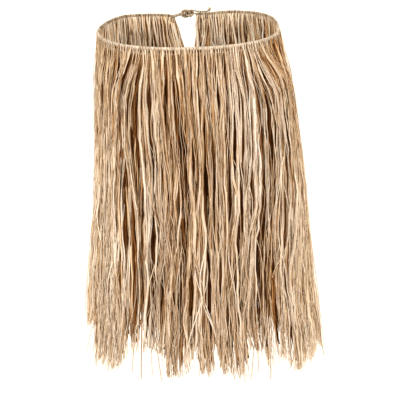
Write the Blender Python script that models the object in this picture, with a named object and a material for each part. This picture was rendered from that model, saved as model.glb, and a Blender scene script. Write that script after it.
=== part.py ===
"""A grass skirt: bundles of dried raffia looped side by side over a cord that is tied at the back.

It hangs filled out as it is worn, hollow and open at the waist and at the hem. Metres, +Z up. The
origin is the middle of the waist at the height of the cord's centre line. The front faces -Y.
A drop is a length straight down from the cord. A station is a length along the waist, from the
middle of the back round by +X and the front. Out is a length away from the middle of the grass.
"""

import math
import random
from typing import NamedTuple

import bmesh
import bpy
import numpy as np
from mathutils import Vector


class Section(NamedTuple):
    """The middle of the grass at one drop: its half width, half depth and swing to +X."""

    drop: float
    half_width: float
    half_depth: float
    swing: float


class Slit(NamedTuple):
    """The back opening at one drop: how far each edge stands from the middle of the back."""

    drop: float
    left: float
    right: float


class HemLength(NamedTuple):
    """How long the grass is at one station, given as a share of the way round the waist."""

    share: float
    length: float


class TailPoint(NamedTuple):
    """A point of the cord's free end: its station, and its height over the cord."""

    station: float
    height: float


class Ring(NamedTuple):
    """One place in a lock: its share of the lock's length, its width and its thickness."""

    share: float
    width: float
    thick: float


class Wave(NamedTuple):
    """A wave in the locks: its size and its width round the waist, how far the second layer is out
    of step with the first, in turns, and how far the wave turns on its way to the tips, in radians.
    """

    size: float
    width: float
    layer_step: float
    twist: float


class Lock(NamedTuple):
    """One lock of grass: its station, its layer, its length, and how wide it is for its kind."""

    station: float
    layer: int
    length: float
    breadth: float


# The shape of the whole skirt.
SECTIONS = (
    Section(0.000, 0.1610, 0.1065, 0.0000),
    Section(0.057, 0.1655, 0.1095, 0.0020),
    Section(0.125, 0.1722, 0.1130, 0.0055),
    Section(0.218, 0.1812, 0.1175, 0.0100),
    Section(0.312, 0.1896, 0.1210, 0.0125),
    Section(0.408, 0.1982, 0.1245, 0.0125),
    Section(0.505, 0.2075, 0.1275, 0.0115),
    Section(0.640, 0.2235, 0.1310, 0.0130),
)
FRONT_SQUARENESS = 2.2  # a superellipse's exponent, where 2 is an ellipse
BACK_SQUARENESS = 3.0
SLITS = (
    Slit(0.000, 0.0290, 0.0160),
    Slit(0.058, 0.0110, 0.0120),
    Slit(0.120, 0.0015, 0.0040),
    Slit(0.640, 0.0015, 0.0035),
)
SLIT_REACH = 0.090  # how far from an edge the grass leans with it
HEM_LENGTHS = (
    HemLength(0.00, 0.600),
    HemLength(0.10, 0.615),
    HemLength(0.20, 0.600),
    HemLength(0.30, 0.622),
    HemLength(0.37, 0.606),
    HemLength(0.41, 0.585),
    HemLength(0.45, 0.624),
    HemLength(0.52, 0.628),
    HemLength(0.57, 0.590),
    HemLength(0.62, 0.612),
    HemLength(0.70, 0.626),
    HemLength(0.82, 0.604),
    HemLength(0.92, 0.616),
    HemLength(1.00, 0.600),
)
HEM_RAGGED = 0.018  # how much longer or shorter than that one lock is
WAIST_SAMPLES = 1441
WAIST_STEP = 0.002  # half the length over which the waist's direction is taken

# The waist cord, its knot and its free end.
SEAT = 0.0003  # the gap that pieces which touch keep between them
SAME_PLACE = 1e-6
CORD_RADIUS = 0.0018
CORD_POINTS = 76
CORD_END_GAP = 0.0008  # between the knot and the middle of each slanting end of the cord
KNOT_MIDDLE = -0.0028
KNOT_HEIGHT = 0.0036  # how far the knot's middle stands above the cord round the waist
KNOT_HALF_WIDTH = 0.0120
KNOT_HALF_HEIGHT = 0.0062
KNOT_HALF_DEPTH = 0.0030
KNOT_LOBE = 0.42  # how far the knot's three lobes reach in and out, as a share of its size
KNOT_STRAND = 0.0016
KNOT_POINTS = 48
TAIL_RADIUS = 0.0014
TAIL_ROUTE = (
    TailPoint(0.0052, 0.0107),
    TailPoint(0.0085, 0.0098),
    TailPoint(0.0120, 0.0082),
    TailPoint(0.0158, 0.0070),
    TailPoint(0.0200, 0.0066),
    TailPoint(0.0260, 0.0066),
    TailPoint(0.0320, 0.0066),
    TailPoint(0.0365, 0.0068),
    TailPoint(0.0394, 0.0080),
    TailPoint(0.0409, 0.0104),
    TailPoint(0.0413, 0.0134),
)

# The loops over the cord, one for each bundle, and the locks that hang from them.
LOOPS = 208
LOOP_GAP = 0.0006  # between a loop and the cord
LOOP_THICK = 0.0014
LOOP_RIB = 0.0005  # how far every second loop stands out
LOOP_TOP = 0.0046
LOOP_SHOULDER = 0.0024  # the height at which a loop turns in over the cord
LOOP_FRONT_DROP = 0.0090
LOOP_BACK_DROP = 0.0055
LOCK_THICK = 0.0019
LOCK_LAYERS = (0.0040, 0.0070)  # how far out the middle of each layer of locks hangs
LOCK_ROOT_OUT = (0.0035, 0.0056)  # the same, just under the loops
LOCK_UNEVEN = 0.18  # how much wider or narrower than the usual one lock is
LOCK_RINGS = (
    Ring(0.045, 0.0036, LOCK_THICK),
    Ring(0.330, 0.0046, LOCK_THICK),
    Ring(0.680, 0.0054, LOCK_THICK),
    Ring(1.000, 0.0024, LOCK_THICK * 0.55),
)
CLUMPS = Wave(0.0030, 0.083, 0.60, 4.0)
TUFTS = Wave(0.0008, 0.031, 0.37, -7.0)
BILLOWS = Wave(0.0015, 0.110, 0.00, 5.0)
LOCK_SEED = 5

# The matted inner grass.
GATHERS = 72
GATHER_TOP = 0.0005  # how far the gathers stand in and out, at the waist and at the hem
GATHER_BOTTOM = 0.0015
INNER_THICK = 0.0015
INNER_TOP = CORD_RADIUS + SEAT
INNER_ROWS = (INNER_TOP, 0.125, 0.312)
INNER_LENGTH = 0.530
INNER_RAGGED = 0.018
INNER_SEED = 11


def clear_scene():
    """Removes every object, so that the scene holds only the skirt."""
    for item in list(bpy.data.objects):
        bpy.data.objects.remove(item)


def waist_line():
    """Stations round the waist, and the cord's place there as shares of its half width and depth."""
    turn = np.linspace(0.0, 2.0 * math.pi, WAIST_SAMPLES)
    across, ahead = np.sin(turn), np.cos(turn)
    power = np.where(ahead >= 0.0, 2.0 / BACK_SQUARENESS, 2.0 / FRONT_SQUARENESS)
    across = np.sign(across) * np.abs(across) ** power
    ahead = np.sign(ahead) * np.abs(ahead) ** power
    steps = np.hypot(
        np.diff(across) * SECTIONS[0].half_width,
        np.diff(ahead) * SECTIONS[0].half_depth,
    )
    return np.concatenate([[0.0], np.cumsum(steps)]), across, ahead


STATIONS, ACROSS, AHEAD = waist_line()
GIRTH = float(STATIONS[-1])
RIGHT_EDGE = SLITS[0].right
LEFT_EDGE = GIRTH - SLITS[0].left
LOOP_PITCH = (LEFT_EDGE - RIGHT_EDGE) / LOOPS


def read(table, key, value, at):
    """A column of a table at one place, in straight lines between its rows."""
    return float(
        np.interp(at, [getattr(row, key) for row in table], [getattr(row, value) for row in table])
    )


def leaned(station, drop):
    """The station at which grass from this station hangs at this drop: the slit's edges close in."""
    from_right = max(0.0, 1.0 - (station - RIGHT_EDGE) / SLIT_REACH)
    from_left = max(0.0, 1.0 - (LEFT_EDGE - station) / SLIT_REACH)
    right = read(SLITS, "drop", "right", drop) - SLITS[0].right
    left = SLITS[0].left - read(SLITS, "drop", "left", drop)
    return station + right * from_right**2 + left * from_left**2


def flat_place(station, drop):
    """The middle of the grass in plan, before it swings."""
    width = read(SECTIONS, "drop", "half_width", drop)
    depth = read(SECTIONS, "drop", "half_depth", drop)
    station = station % GIRTH
    return Vector(
        (
            width * float(np.interp(station, STATIONS, ACROSS)),
            depth * float(np.interp(station, STATIONS, AHEAD)),
            0.0,
        )
    )


def place(station, drop, out=0.0, height=0.0):
    """A point of the skirt, and its directions along the waist and away from the middle."""
    middle = flat_place(station, drop)
    ahead = flat_place(station + WAIST_STEP, drop)
    behind = flat_place(station - WAIST_STEP, drop)
    along = (ahead - behind).normalized()
    away = Vector((-along.y, along.x, 0.0))
    swing = read(SECTIONS, "drop", "swing", drop)
    point = middle + away * out + Vector((swing, 0.0, height - drop))
    return point, along, away


def finish(name, mesh, material):
    """Puts a mesh or a curve into the scene as an object with one material."""
    mesh.materials.append(material)
    item = bpy.data.objects.new(name, mesh)
    bpy.context.collection.objects.link(item)
    return item


def dry_grass(name, colour, roughness):
    """A dry, dull plant fibre."""
    material = bpy.data.materials.new(name)
    material.use_nodes = True
    shader = material.node_tree.nodes["Principled BSDF"]
    shader.inputs["Base Color"].default_value = (*colour, 1.0)
    shader.inputs["Roughness"].default_value = roughness
    shader.inputs["Metallic"].default_value = 0.0
    return material


def tube(name, points, radius, material, closed=False):
    """A round cord through a list of points."""
    curve = bpy.data.curves.new(name, "CURVE")
    curve.dimensions = "3D"
    curve.bevel_depth = radius
    curve.bevel_resolution = 2
    curve.use_fill_caps = not closed
    line = curve.splines.new("POLY")
    line.points.add(len(points) - 1)
    for spot, point in zip(line.points, points):
        spot.co = (*point, 1.0)
    line.use_cyclic_u = closed
    return finish(name, curve, material)


def knot_middle():
    """Where the knot sits: over the gap between the two edges, on the line of the waist."""
    return Vector((KNOT_MIDDLE, SECTIONS[0].half_depth, KNOT_HEIGHT))


def knot_point(turn):
    """A point of the knot's strand, from its middle: twice round, and three times over and under."""
    reach = (1.0 + KNOT_LOBE * math.cos(3.0 * turn)) / (1.0 + KNOT_LOBE)
    return Vector(
        (
            KNOT_HALF_WIDTH * reach * math.cos(2.0 * turn),
            KNOT_HALF_DEPTH * math.sin(3.0 * turn),
            KNOT_HALF_HEIGHT * reach * math.sin(2.0 * turn),
        )
    )


def tie_knot(material):
    """The knot of the cord's two ends, drawn up tight."""
    turns = np.linspace(0.0, 2.0 * math.pi, KNOT_POINTS, endpoint=False)
    points = [knot_middle() + knot_point(float(turn)) for turn in turns]
    return tube("tie_knot", points, KNOT_STRAND, material, closed=True)


def waist_cord(material):
    """The cord, from one side of the knot, round the waist under the loops, to its other side."""
    turns = np.linspace(0.0, 2.0 * math.pi, KNOT_POINTS, endpoint=False)
    reaches = [knot_point(float(turn)).x for turn in turns]
    start = knot_middle() + Vector((max(reaches) + KNOT_STRAND + CORD_END_GAP, 0.0, 0.0))
    end = knot_middle() + Vector((min(reaches) - KNOT_STRAND - CORD_END_GAP, 0.0, 0.0))
    stations = np.linspace(RIGHT_EDGE - SEAT, LEFT_EDGE + SEAT, CORD_POINTS)
    round_waist = [place(float(station), 0.0)[0] for station in stations]
    return tube("waist_cord", [start, *round_waist, end], CORD_RADIUS, material)


def tie_tail(material):
    """The free end, which lies on the loops beside the knot and turns up at its tip."""
    points = [place(spot.station, 0.0, height=spot.height)[0] for spot in TAIL_ROUTE]
    return tube("tie_tail", points, TAIL_RADIUS, material)


def mapped_grid(mesh, columns, rows, spot):
    """A flat grid whose points are moved to spot(column, row); it returns them by column and row."""
    bmesh.ops.create_grid(mesh, x_segments=columns, y_segments=rows, size=1.0)
    found = {}
    for vertex in mesh.verts:
        column = round((vertex.co.x + 1.0) / 2.0 * columns)
        row = round((1.0 - vertex.co.y) / 2.0 * rows)
        found[column, row] = vertex
    for (column, row), vertex in found.items():
        vertex.co = spot(column, row)
    return found


def inner_layer(material):
    """The matted inner grass: one wall in narrow gathers, open at the back, with a ragged hem."""
    chance = random.Random(INNER_SEED)
    columns = 2 * GATHERS
    lengths = [INNER_LENGTH + chance.uniform(-INNER_RAGGED, INNER_RAGGED) for _ in range(columns + 1)]

    def spot(column, row):
        drop = (*INNER_ROWS, lengths[column])[row]
        station = RIGHT_EDGE + (LEFT_EDGE - RIGHT_EDGE) * column / columns
        stand = GATHER_TOP + (GATHER_BOTTOM - GATHER_TOP) * drop / INNER_LENGTH
        side = 1.0 if column % 2 else -1.0
        return place(leaned(station, drop), drop, side * stand)[0]

    mesh = bmesh.new()
    mapped_grid(mesh, columns, len(INNER_ROWS), spot)
    data = bpy.data.meshes.new("inner_layer")
    mesh.to_mesh(data)
    mesh.free()
    item = finish("inner_layer", data, material)
    wall = item.modifiers.new("Wall", "SOLIDIFY")
    wall.thickness = INNER_THICK
    wall.offset = 0.0
    return item


def loop_section(rib):
    """The section of the loops over the cord, as (out, height), from the front leg's outer foot.

    The rib moves the section's outer side out, and its inner side stays clear of the cord.
    """
    clear = CORD_RADIUS + LOOP_GAP
    wide = clear + LOOP_THICK + rib
    return (
        (wide, -LOOP_FRONT_DROP),
        (wide, LOOP_SHOULDER),
        (0.0, LOOP_TOP),
        (-wide, LOOP_SHOULDER),
        (-wide, -LOOP_BACK_DROP),
        (-clear, -LOOP_BACK_DROP),
        (-clear, clear),
        (clear, clear),
        (clear, -LOOP_FRONT_DROP),
    )


def waved(kind, lock, share):
    """How far a wave moves a lock at this share of its length."""
    turn = lock.station / kind.width + kind.layer_step * lock.layer
    return kind.size * math.sin(2.0 * math.pi * turn + kind.twist * share)


def lock_middle(lock, drop):
    """Where the middle of a lock hangs at this drop: its station, and how far out it is."""
    share = drop / lock.length
    below_root = (share - LOCK_RINGS[0].share) / (LOCK_RINGS[1].share - LOCK_RINGS[0].share)
    free = min(1.0, max(0.0, below_root))
    sway = free * (waved(CLUMPS, lock, share) + waved(TUFTS, lock, share))
    billow = BILLOWS.size + waved(BILLOWS, lock, share)
    root, hung = LOCK_ROOT_OUT[lock.layer], LOCK_LAYERS[lock.layer]
    return leaned(lock.station, drop) + sway, root + free * (hung - root + billow)


def outer_fringe(material):
    """The row of loops over the cord, and from the foot of each one a lock of grass."""
    sections = [loop_section(0.0), loop_section(LOOP_RIB)]
    corners = len(sections[0])
    mesh = bmesh.new()

    def spot(column, row):
        out, height = sections[column % 2][row % corners]
        station = RIGHT_EDGE + LOOP_PITCH * column
        drop = max(0.0, -height)
        return place(leaned(station, drop), drop, out, max(0.0, height))[0]

    mapped_grid(mesh, LOOPS, corners, spot)
    bmesh.ops.remove_doubles(mesh, verts=mesh.verts, dist=SAME_PLACE)
    ends = [edge for edge in mesh.edges if edge.is_boundary]
    bmesh.ops.holes_fill(mesh, edges=ends, sides=corners)
    hang_locks(mesh)
    bmesh.ops.recalc_face_normals(mesh, faces=mesh.faces)
    data = bpy.data.meshes.new("outer_fringe")
    mesh.to_mesh(data)
    mesh.free()
    return finish("outer_fringe", data, material)


def loop_feet(mesh):
    """The faces under the front legs of the loops, in their order round the waist."""
    feet = [
        face
        for face in mesh.faces
        if len(face.verts) == 4
        and all(abs(vertex.co.z + LOOP_FRONT_DROP) < SAME_PLACE for vertex in face.verts)
    ]

    def turn(face):
        middle = face.calc_center_median()
        return math.atan2(middle.x, middle.y) % (2.0 * math.pi)

    return sorted(feet, key=turn)


def locks():
    """Every lock of the outer fringe, in order round the waist, each with its own length."""
    chance = random.Random(LOCK_SEED)
    made = []
    for number in range(LOOPS):
        station = RIGHT_EDGE + LOOP_PITCH * (number + 0.5)
        length = read(HEM_LENGTHS, "share", "length", station / GIRTH)
        length += chance.uniform(-HEM_RAGGED, HEM_RAGGED)
        breadth = 1.0 + chance.uniform(-LOCK_UNEVEN, LOCK_UNEVEN)
        made.append(Lock(station, number % 2, length, breadth))
    return made


def hang_locks(mesh):
    """Draws each loop's foot down into a lock, ring by ring."""
    which = mesh.faces.layers.int.new("lock")
    hung = locks()
    faces = loop_feet(mesh)
    for number, face in enumerate(faces):
        face[which] = number
    for ring in LOCK_RINGS:
        faces = bmesh.ops.extrude_discrete_faces(mesh, faces=faces)["faces"]
        for face in faces:
            shape_ring(face, hung[face[which]], ring)


def shape_ring(face, lock, ring):
    """Moves the four corners of a lock's newest ring to their places."""
    drop = ring.share * lock.length
    before = face.calc_center_median()
    _, old_along, old_away = place(leaned(lock.station, drop), drop)
    middle, out = lock_middle(lock, drop)
    point, along, away = place(middle, drop, out)
    half_width = ring.width * min(1.0 + LOCK_UNEVEN * drop, lock.breadth) / 2.0
    for vertex in face.verts:
        offset = vertex.co - before
        side = math.copysign(half_width, offset.dot(old_along))
        depth = math.copysign(ring.thick / 2.0, offset.dot(old_away))
        vertex.co = point + along * side + away * depth


def main():
    """Builds the skirt's five pieces."""
    clear_scene()
    straw = dry_grass("raffia", (0.56, 0.40, 0.24), 0.62)
    shaded = dry_grass("raffia_inner", (0.46, 0.32, 0.19), 0.68)
    twine = dry_grass("raffia_cord", (0.47, 0.38, 0.27), 0.70)
    waist_cord(twine)
    tie_knot(twine)
    tie_tail(twine)
    outer_fringe(straw)
    inner_layer(shaded)


main()
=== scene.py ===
"""The looks of a grass skirt: locks of dried raffia looped over a waist cord tied at the back.

The skirt hangs filled out as it is worn. Metres, +Z up. The origin is the middle of the waist at the
height of the cord's centre line, and the front faces -Y. A drop is a length straight down from the
cord. A station is a length along the waist, from the middle of the back round by +X and the front.
Out is a length away from the middle of the grass.
"""

import logging
import math
from dataclasses import dataclass, field
from enum import Enum
from typing import NamedTuple

import bmesh
import bpy
import numpy as np
from mathutils import Matrix, Vector


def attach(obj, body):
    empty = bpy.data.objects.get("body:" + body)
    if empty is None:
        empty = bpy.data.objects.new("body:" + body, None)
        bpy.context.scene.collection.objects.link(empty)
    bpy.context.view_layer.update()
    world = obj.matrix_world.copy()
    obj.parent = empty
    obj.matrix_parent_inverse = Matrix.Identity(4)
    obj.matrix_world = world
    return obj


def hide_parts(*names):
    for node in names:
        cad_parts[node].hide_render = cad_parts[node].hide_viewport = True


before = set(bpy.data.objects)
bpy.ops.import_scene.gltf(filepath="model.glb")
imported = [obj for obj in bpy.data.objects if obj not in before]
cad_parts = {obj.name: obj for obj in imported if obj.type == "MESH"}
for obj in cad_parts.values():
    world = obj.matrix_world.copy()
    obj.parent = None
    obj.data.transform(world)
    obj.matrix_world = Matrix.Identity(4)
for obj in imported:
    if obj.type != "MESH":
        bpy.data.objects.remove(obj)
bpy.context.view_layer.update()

logging.basicConfig(level=logging.INFO, format="%(message)s")
log = logging.getLogger("grass_skirt")

BODY = "root"


def rows(kind: type, *values: tuple) -> tuple:
    """A table, with a row of one kind for each group of values."""
    return tuple(kind(*row) for row in values)


class Section(NamedTuple):
    """The middle of the grass at one drop: its half width, half depth and swing to +X."""

    drop: float
    half_width: float
    half_depth: float
    swing: float


class Slit(NamedTuple):
    """The back opening at one drop: how far each edge stands from the middle of the back."""

    drop: float
    left: float
    right: float


class Rise(NamedTuple):
    """How far the waist stands over the level at one share of the way round."""

    share: float
    height: float


class Fan(NamedTuple):
    """How far along the waist the grass swings over that starts at one share of the way round."""

    share: float
    way: float


class Bulge(NamedTuple):
    """How far the waist stands out past its even curve at one share of the way round."""

    share: float
    out: float


class HemLength(NamedTuple):
    """How long the grass is at one share of the way round, and what part of it ends early."""

    share: float
    length: float
    thin: float


class Paleness(NamedTuple):
    """How much paler the grass is at one share of the way round, high up and low down."""

    share: float
    high: float
    low: float


class Toast(NamedTuple):
    """How golden the grass is just under the waist at one share of the way round."""

    share: float
    gold: float


class Glow(NamedTuple):
    """Where golden strands are likely: the share of the way round, how likely and how broad."""

    share: float
    likely: float
    broad: float


class Parting(NamedTuple):
    """A dark gap between the outer strands: the drops and stations of its ends, and its width."""

    top: float
    foot: float
    top_station: float
    foot_station: float
    width: float


class Bend(NamedTuple):
    """A point of a single strand: its share of the way round, its drop and how far out it is."""

    share: float
    drop: float
    out: float


class Side(Enum):
    """Which side of the waist a row of grass hangs on."""

    FRONT = "front"
    LEFT = "left"
    RIGHT = "right"
    BACK = "back"


class Blade(Enum):
    """How a strip of raffia has dried, given as the number of sides of its section."""

    FIBRE = 3
    FOLDED = 4
    CUPPED = 6


def smooth_step(value: np.ndarray) -> np.ndarray:
    """A share from 0 to 1 that starts and ends level."""
    held = np.clip(value, 0.0, 1.0)
    return held * held * (3.0 - 2.0 * held)


def smooth_read(places: np.ndarray, values: np.ndarray, at: np.ndarray) -> np.ndarray:
    """Reads a smooth curve through a row of values for each strand.

    Args:
        places: the places that the values stand at, in rising order.
        values: one row of values for each strand.
        at: the places to read, one row for each strand.

    Returns:
        The values there, in the shape of at.
    """
    slopes = np.gradient(values, places, axis=1)
    after = np.clip(np.searchsorted(places, at), 1, len(places) - 1)
    before = after - 1
    each = np.arange(len(values))[:, None]
    step = places[after] - places[before]
    share = np.clip((at - places[before]) / step, 0.0, 1.0)
    square, cube = share**2, share**3
    return (
        values[each, before] * (2.0 * cube - 3.0 * square + 1.0)
        + slopes[each, before] * step * (cube - 2.0 * square + share)
        + values[each, after] * (3.0 * square - 2.0 * cube)
        + slopes[each, after] * step * (cube - square)
    )


@dataclass
class SkirtForm:
    """The surface that the grass hangs on, which is the middle of its thickness.

    Attributes:
        sections: the plan of the skirt at each drop.
        slits: the back opening at each drop.
        rises: how the waist waves up and down.
        bulges: where the waist stands out.
        hem: how long the grass is round the skirt.
        front_squareness: a superellipse's exponent, where 2 is an ellipse.
        back_squareness: the same for the back half.
        slit_reach: how far from an edge of the slit the grass leans with it.
        settled: the drop under which the grass no longer follows the waist's waves.
        bulged: the drop under which it no longer follows its bulges.
        early: how far up the strands that end early may end.
        samples: how many points the waist line is read at.
        step: half the length over which the waist's direction is taken.
    """

    sections: tuple[Section, ...] = rows(
        Section,
        (0.000, 0.1610, 0.1065, 0.0000), (0.057, 0.1655, 0.1095, 0.0020),
        (0.125, 0.1722, 0.1130, 0.0055), (0.218, 0.1812, 0.1175, 0.0100),
        (0.312, 0.1896, 0.1210, 0.0125), (0.408, 0.1982, 0.1245, 0.0125),
        (0.505, 0.2075, 0.1275, 0.0115), (0.640, 0.2235, 0.1310, 0.0130),
    )
    slits: tuple[Slit, ...] = rows(
        Slit,
        (0.000, 0.0290, 0.0160), (0.058, 0.0205, 0.0125), (0.120, 0.0015, 0.0040),
        (0.640, 0.0015, 0.0035),
    )
    rises: tuple[Rise, ...] = rows(
        Rise,
        (0.000, 0.0025), (0.047, 0.0028), (0.065, 0.0048), (0.100, 0.0064), (0.150, 0.0066),
        (0.190, 0.0055), (0.220, 0.0030), (0.270, 0.0000), (0.740, 0.0000), (0.780, 0.0030),
        (0.820, 0.0035), (0.860, 0.0062), (0.900, 0.0045), (0.940, 0.0025), (0.955, 0.0015),
        (0.967, -0.0015), (1.000, 0.0025),
    )
    bulges: tuple[Bulge, ...] = rows(
        Bulge,
        (0.700, 0.0000), (0.730, 0.0030), (0.748, 0.0055), (0.765, 0.0040), (0.795, 0.0000),
    )
    hem: tuple[HemLength, ...] = rows(
        HemLength,
        (0.000, 0.604, 0.10), (0.100, 0.618, 0.10), (0.200, 0.614, 0.10), (0.280, 0.630, 0.25),
        (0.300, 0.638, 0.35), (0.323, 0.644, 0.25), (0.350, 0.649, 0.10), (0.365, 0.635, 0.10),
        (0.377, 0.614, 0.15), (0.386, 0.624, 0.10), (0.399, 0.636, 0.10), (0.404, 0.600, 0.00),
        (0.428, 0.582, 0.00), (0.431, 0.592, 0.00), (0.435, 0.642, 0.05), (0.455, 0.645, 0.05),
        (0.473, 0.630, 0.05), (0.479, 0.600, 0.05), (0.481, 0.582, 0.00), (0.486, 0.580, 0.00),
        (0.488, 0.634, 0.05), (0.510, 0.634, 0.05), (0.512, 0.580, 0.00), (0.517, 0.582, 0.00),
        (0.519, 0.600, 0.05), (0.526, 0.630, 0.05), (0.536, 0.641, 0.05), (0.561, 0.638, 0.05),
        (0.567, 0.590, 0.00), (0.590, 0.584, 0.00), (0.603, 0.602, 0.05), (0.622, 0.602, 0.15),
        (0.632, 0.624, 0.35), (0.650, 0.638, 0.30), (0.684, 0.632, 0.40), (0.692, 0.618, 0.35),
        (0.700, 0.560, 0.20), (0.708, 0.545, 0.10), (0.722, 0.575, 0.10), (0.745, 0.590, 0.10),
        (0.820, 0.606, 0.10), (0.920, 0.618, 0.10), (1.000, 0.604, 0.10),
    )
    front_squareness: float = 2.2
    back_squareness: float = 3.0
    slit_reach: float = 0.090
    settled: float = 0.30
    bulged: float = 0.10
    early: float = 0.13
    samples: int = 1441
    step: float = 0.002
    stations: np.ndarray = field(init=False)
    across: np.ndarray = field(init=False)
    ahead: np.ndarray = field(init=False)

    def __post_init__(self) -> None:
        """Walks round the waist once and notes the station of each of its points."""
        turn = np.linspace(0.0, 2.0 * math.pi, self.samples)
        across, ahead = np.sin(turn), np.cos(turn)
        power = np.where(ahead >= 0.0, 2.0 / self.back_squareness, 2.0 / self.front_squareness)
        self.across = np.sign(across) * np.abs(across) ** power
        self.ahead = np.sign(ahead) * np.abs(ahead) ** power
        waist = self.sections[0]
        steps = np.hypot(
            np.diff(self.across) * waist.half_width,
            np.diff(self.ahead) * waist.half_depth,
        )
        self.stations = np.concatenate([[0.0], np.cumsum(steps)])

    @property
    def girth(self) -> float:
        """The length of the waist line."""
        return float(self.stations[-1])

    @property
    def right_edge(self) -> float:
        """The station of the slit's edge on the +X side."""
        return self.slits[0].right

    @property
    def left_edge(self) -> float:
        """The station of the slit's edge on the -X side."""
        return self.girth - self.slits[0].left

    def read(self, table: tuple, key: str, value: str, at: np.ndarray) -> np.ndarray:
        """A column of one of the tables at some places, in straight lines between its rows."""
        places = [getattr(row, key) for row in table]
        return np.interp(at, places, [getattr(row, value) for row in table])

    def leaned(self, station: np.ndarray, drop: np.ndarray) -> np.ndarray:
        """The station at which grass from this station hangs: the slit's edges close in below."""
        from_right = np.clip(1.0 - (station - self.right_edge) / self.slit_reach, 0.0, None)
        from_left = np.clip(1.0 - (self.left_edge - station) / self.slit_reach, 0.0, None)
        right = self.read(self.slits, "drop", "right", drop) - self.slits[0].right
        left = self.slits[0].left - self.read(self.slits, "drop", "left", drop)
        return station + right * from_right**2 + left * from_left**2

    def plan(self, station: np.ndarray, drop: np.ndarray) -> np.ndarray:
        """The middle of the grass in plan, before it swings, as (x, y)."""
        width = self.read(self.sections, "drop", "half_width", drop)
        depth = self.read(self.sections, "drop", "half_depth", drop)
        turned = np.mod(station, self.girth)
        x = width * np.interp(turned, self.stations, self.across)
        y = depth * np.interp(turned, self.stations, self.ahead)
        return np.stack([x, y], axis=-1)

    def place(
        self, station: np.ndarray, drop: np.ndarray, out: np.ndarray, height: np.ndarray
    ) -> tuple[np.ndarray, np.ndarray]:
        """Places of the skirt and the way out from them.

        Args:
            station: where each place is along the waist.
            drop: how far down it is.
            out: how far away from the middle of the grass it is.
            height: how far over its drop it is lifted.

        Returns:
            The points and the level directions away from the middle, each with three columns.
        """
        drop = np.broadcast_to(np.asarray(drop, float), np.shape(station))
        middle = self.plan(station, drop)
        along = self.plan(station + self.step, drop) - self.plan(station - self.step, drop)
        along /= np.linalg.norm(along, axis=-1, keepdims=True)
        away = np.stack([-along[..., 1], along[..., 0], np.zeros_like(drop)], axis=-1)
        swing = self.read(self.sections, "drop", "swing", drop)
        share = np.mod(station, self.girth) / self.girth
        rise = self.read(self.rises, "share", "height", share)
        up = height - drop + rise * np.clip(1.0 - drop / self.settled, 0.0, 1.0)
        bulge = self.read(self.bulges, "share", "out", share)
        reach = np.asarray(out) + bulge * np.clip(1.0 - drop / self.bulged, 0.0, 1.0)
        flat = np.stack([middle[..., 0] + swing, middle[..., 1], up], axis=-1)
        return flat + away * reach[..., None], away


FORM = SkirtForm()


class Stop(NamedTuple):
    """One colour of a finish and its place in the range."""

    at: float
    colour: tuple[float, float, float]


class Finish(NamedTuple):
    """A material that has been made, and the name of its slot."""

    material: bpy.types.Material
    slot: str


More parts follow.
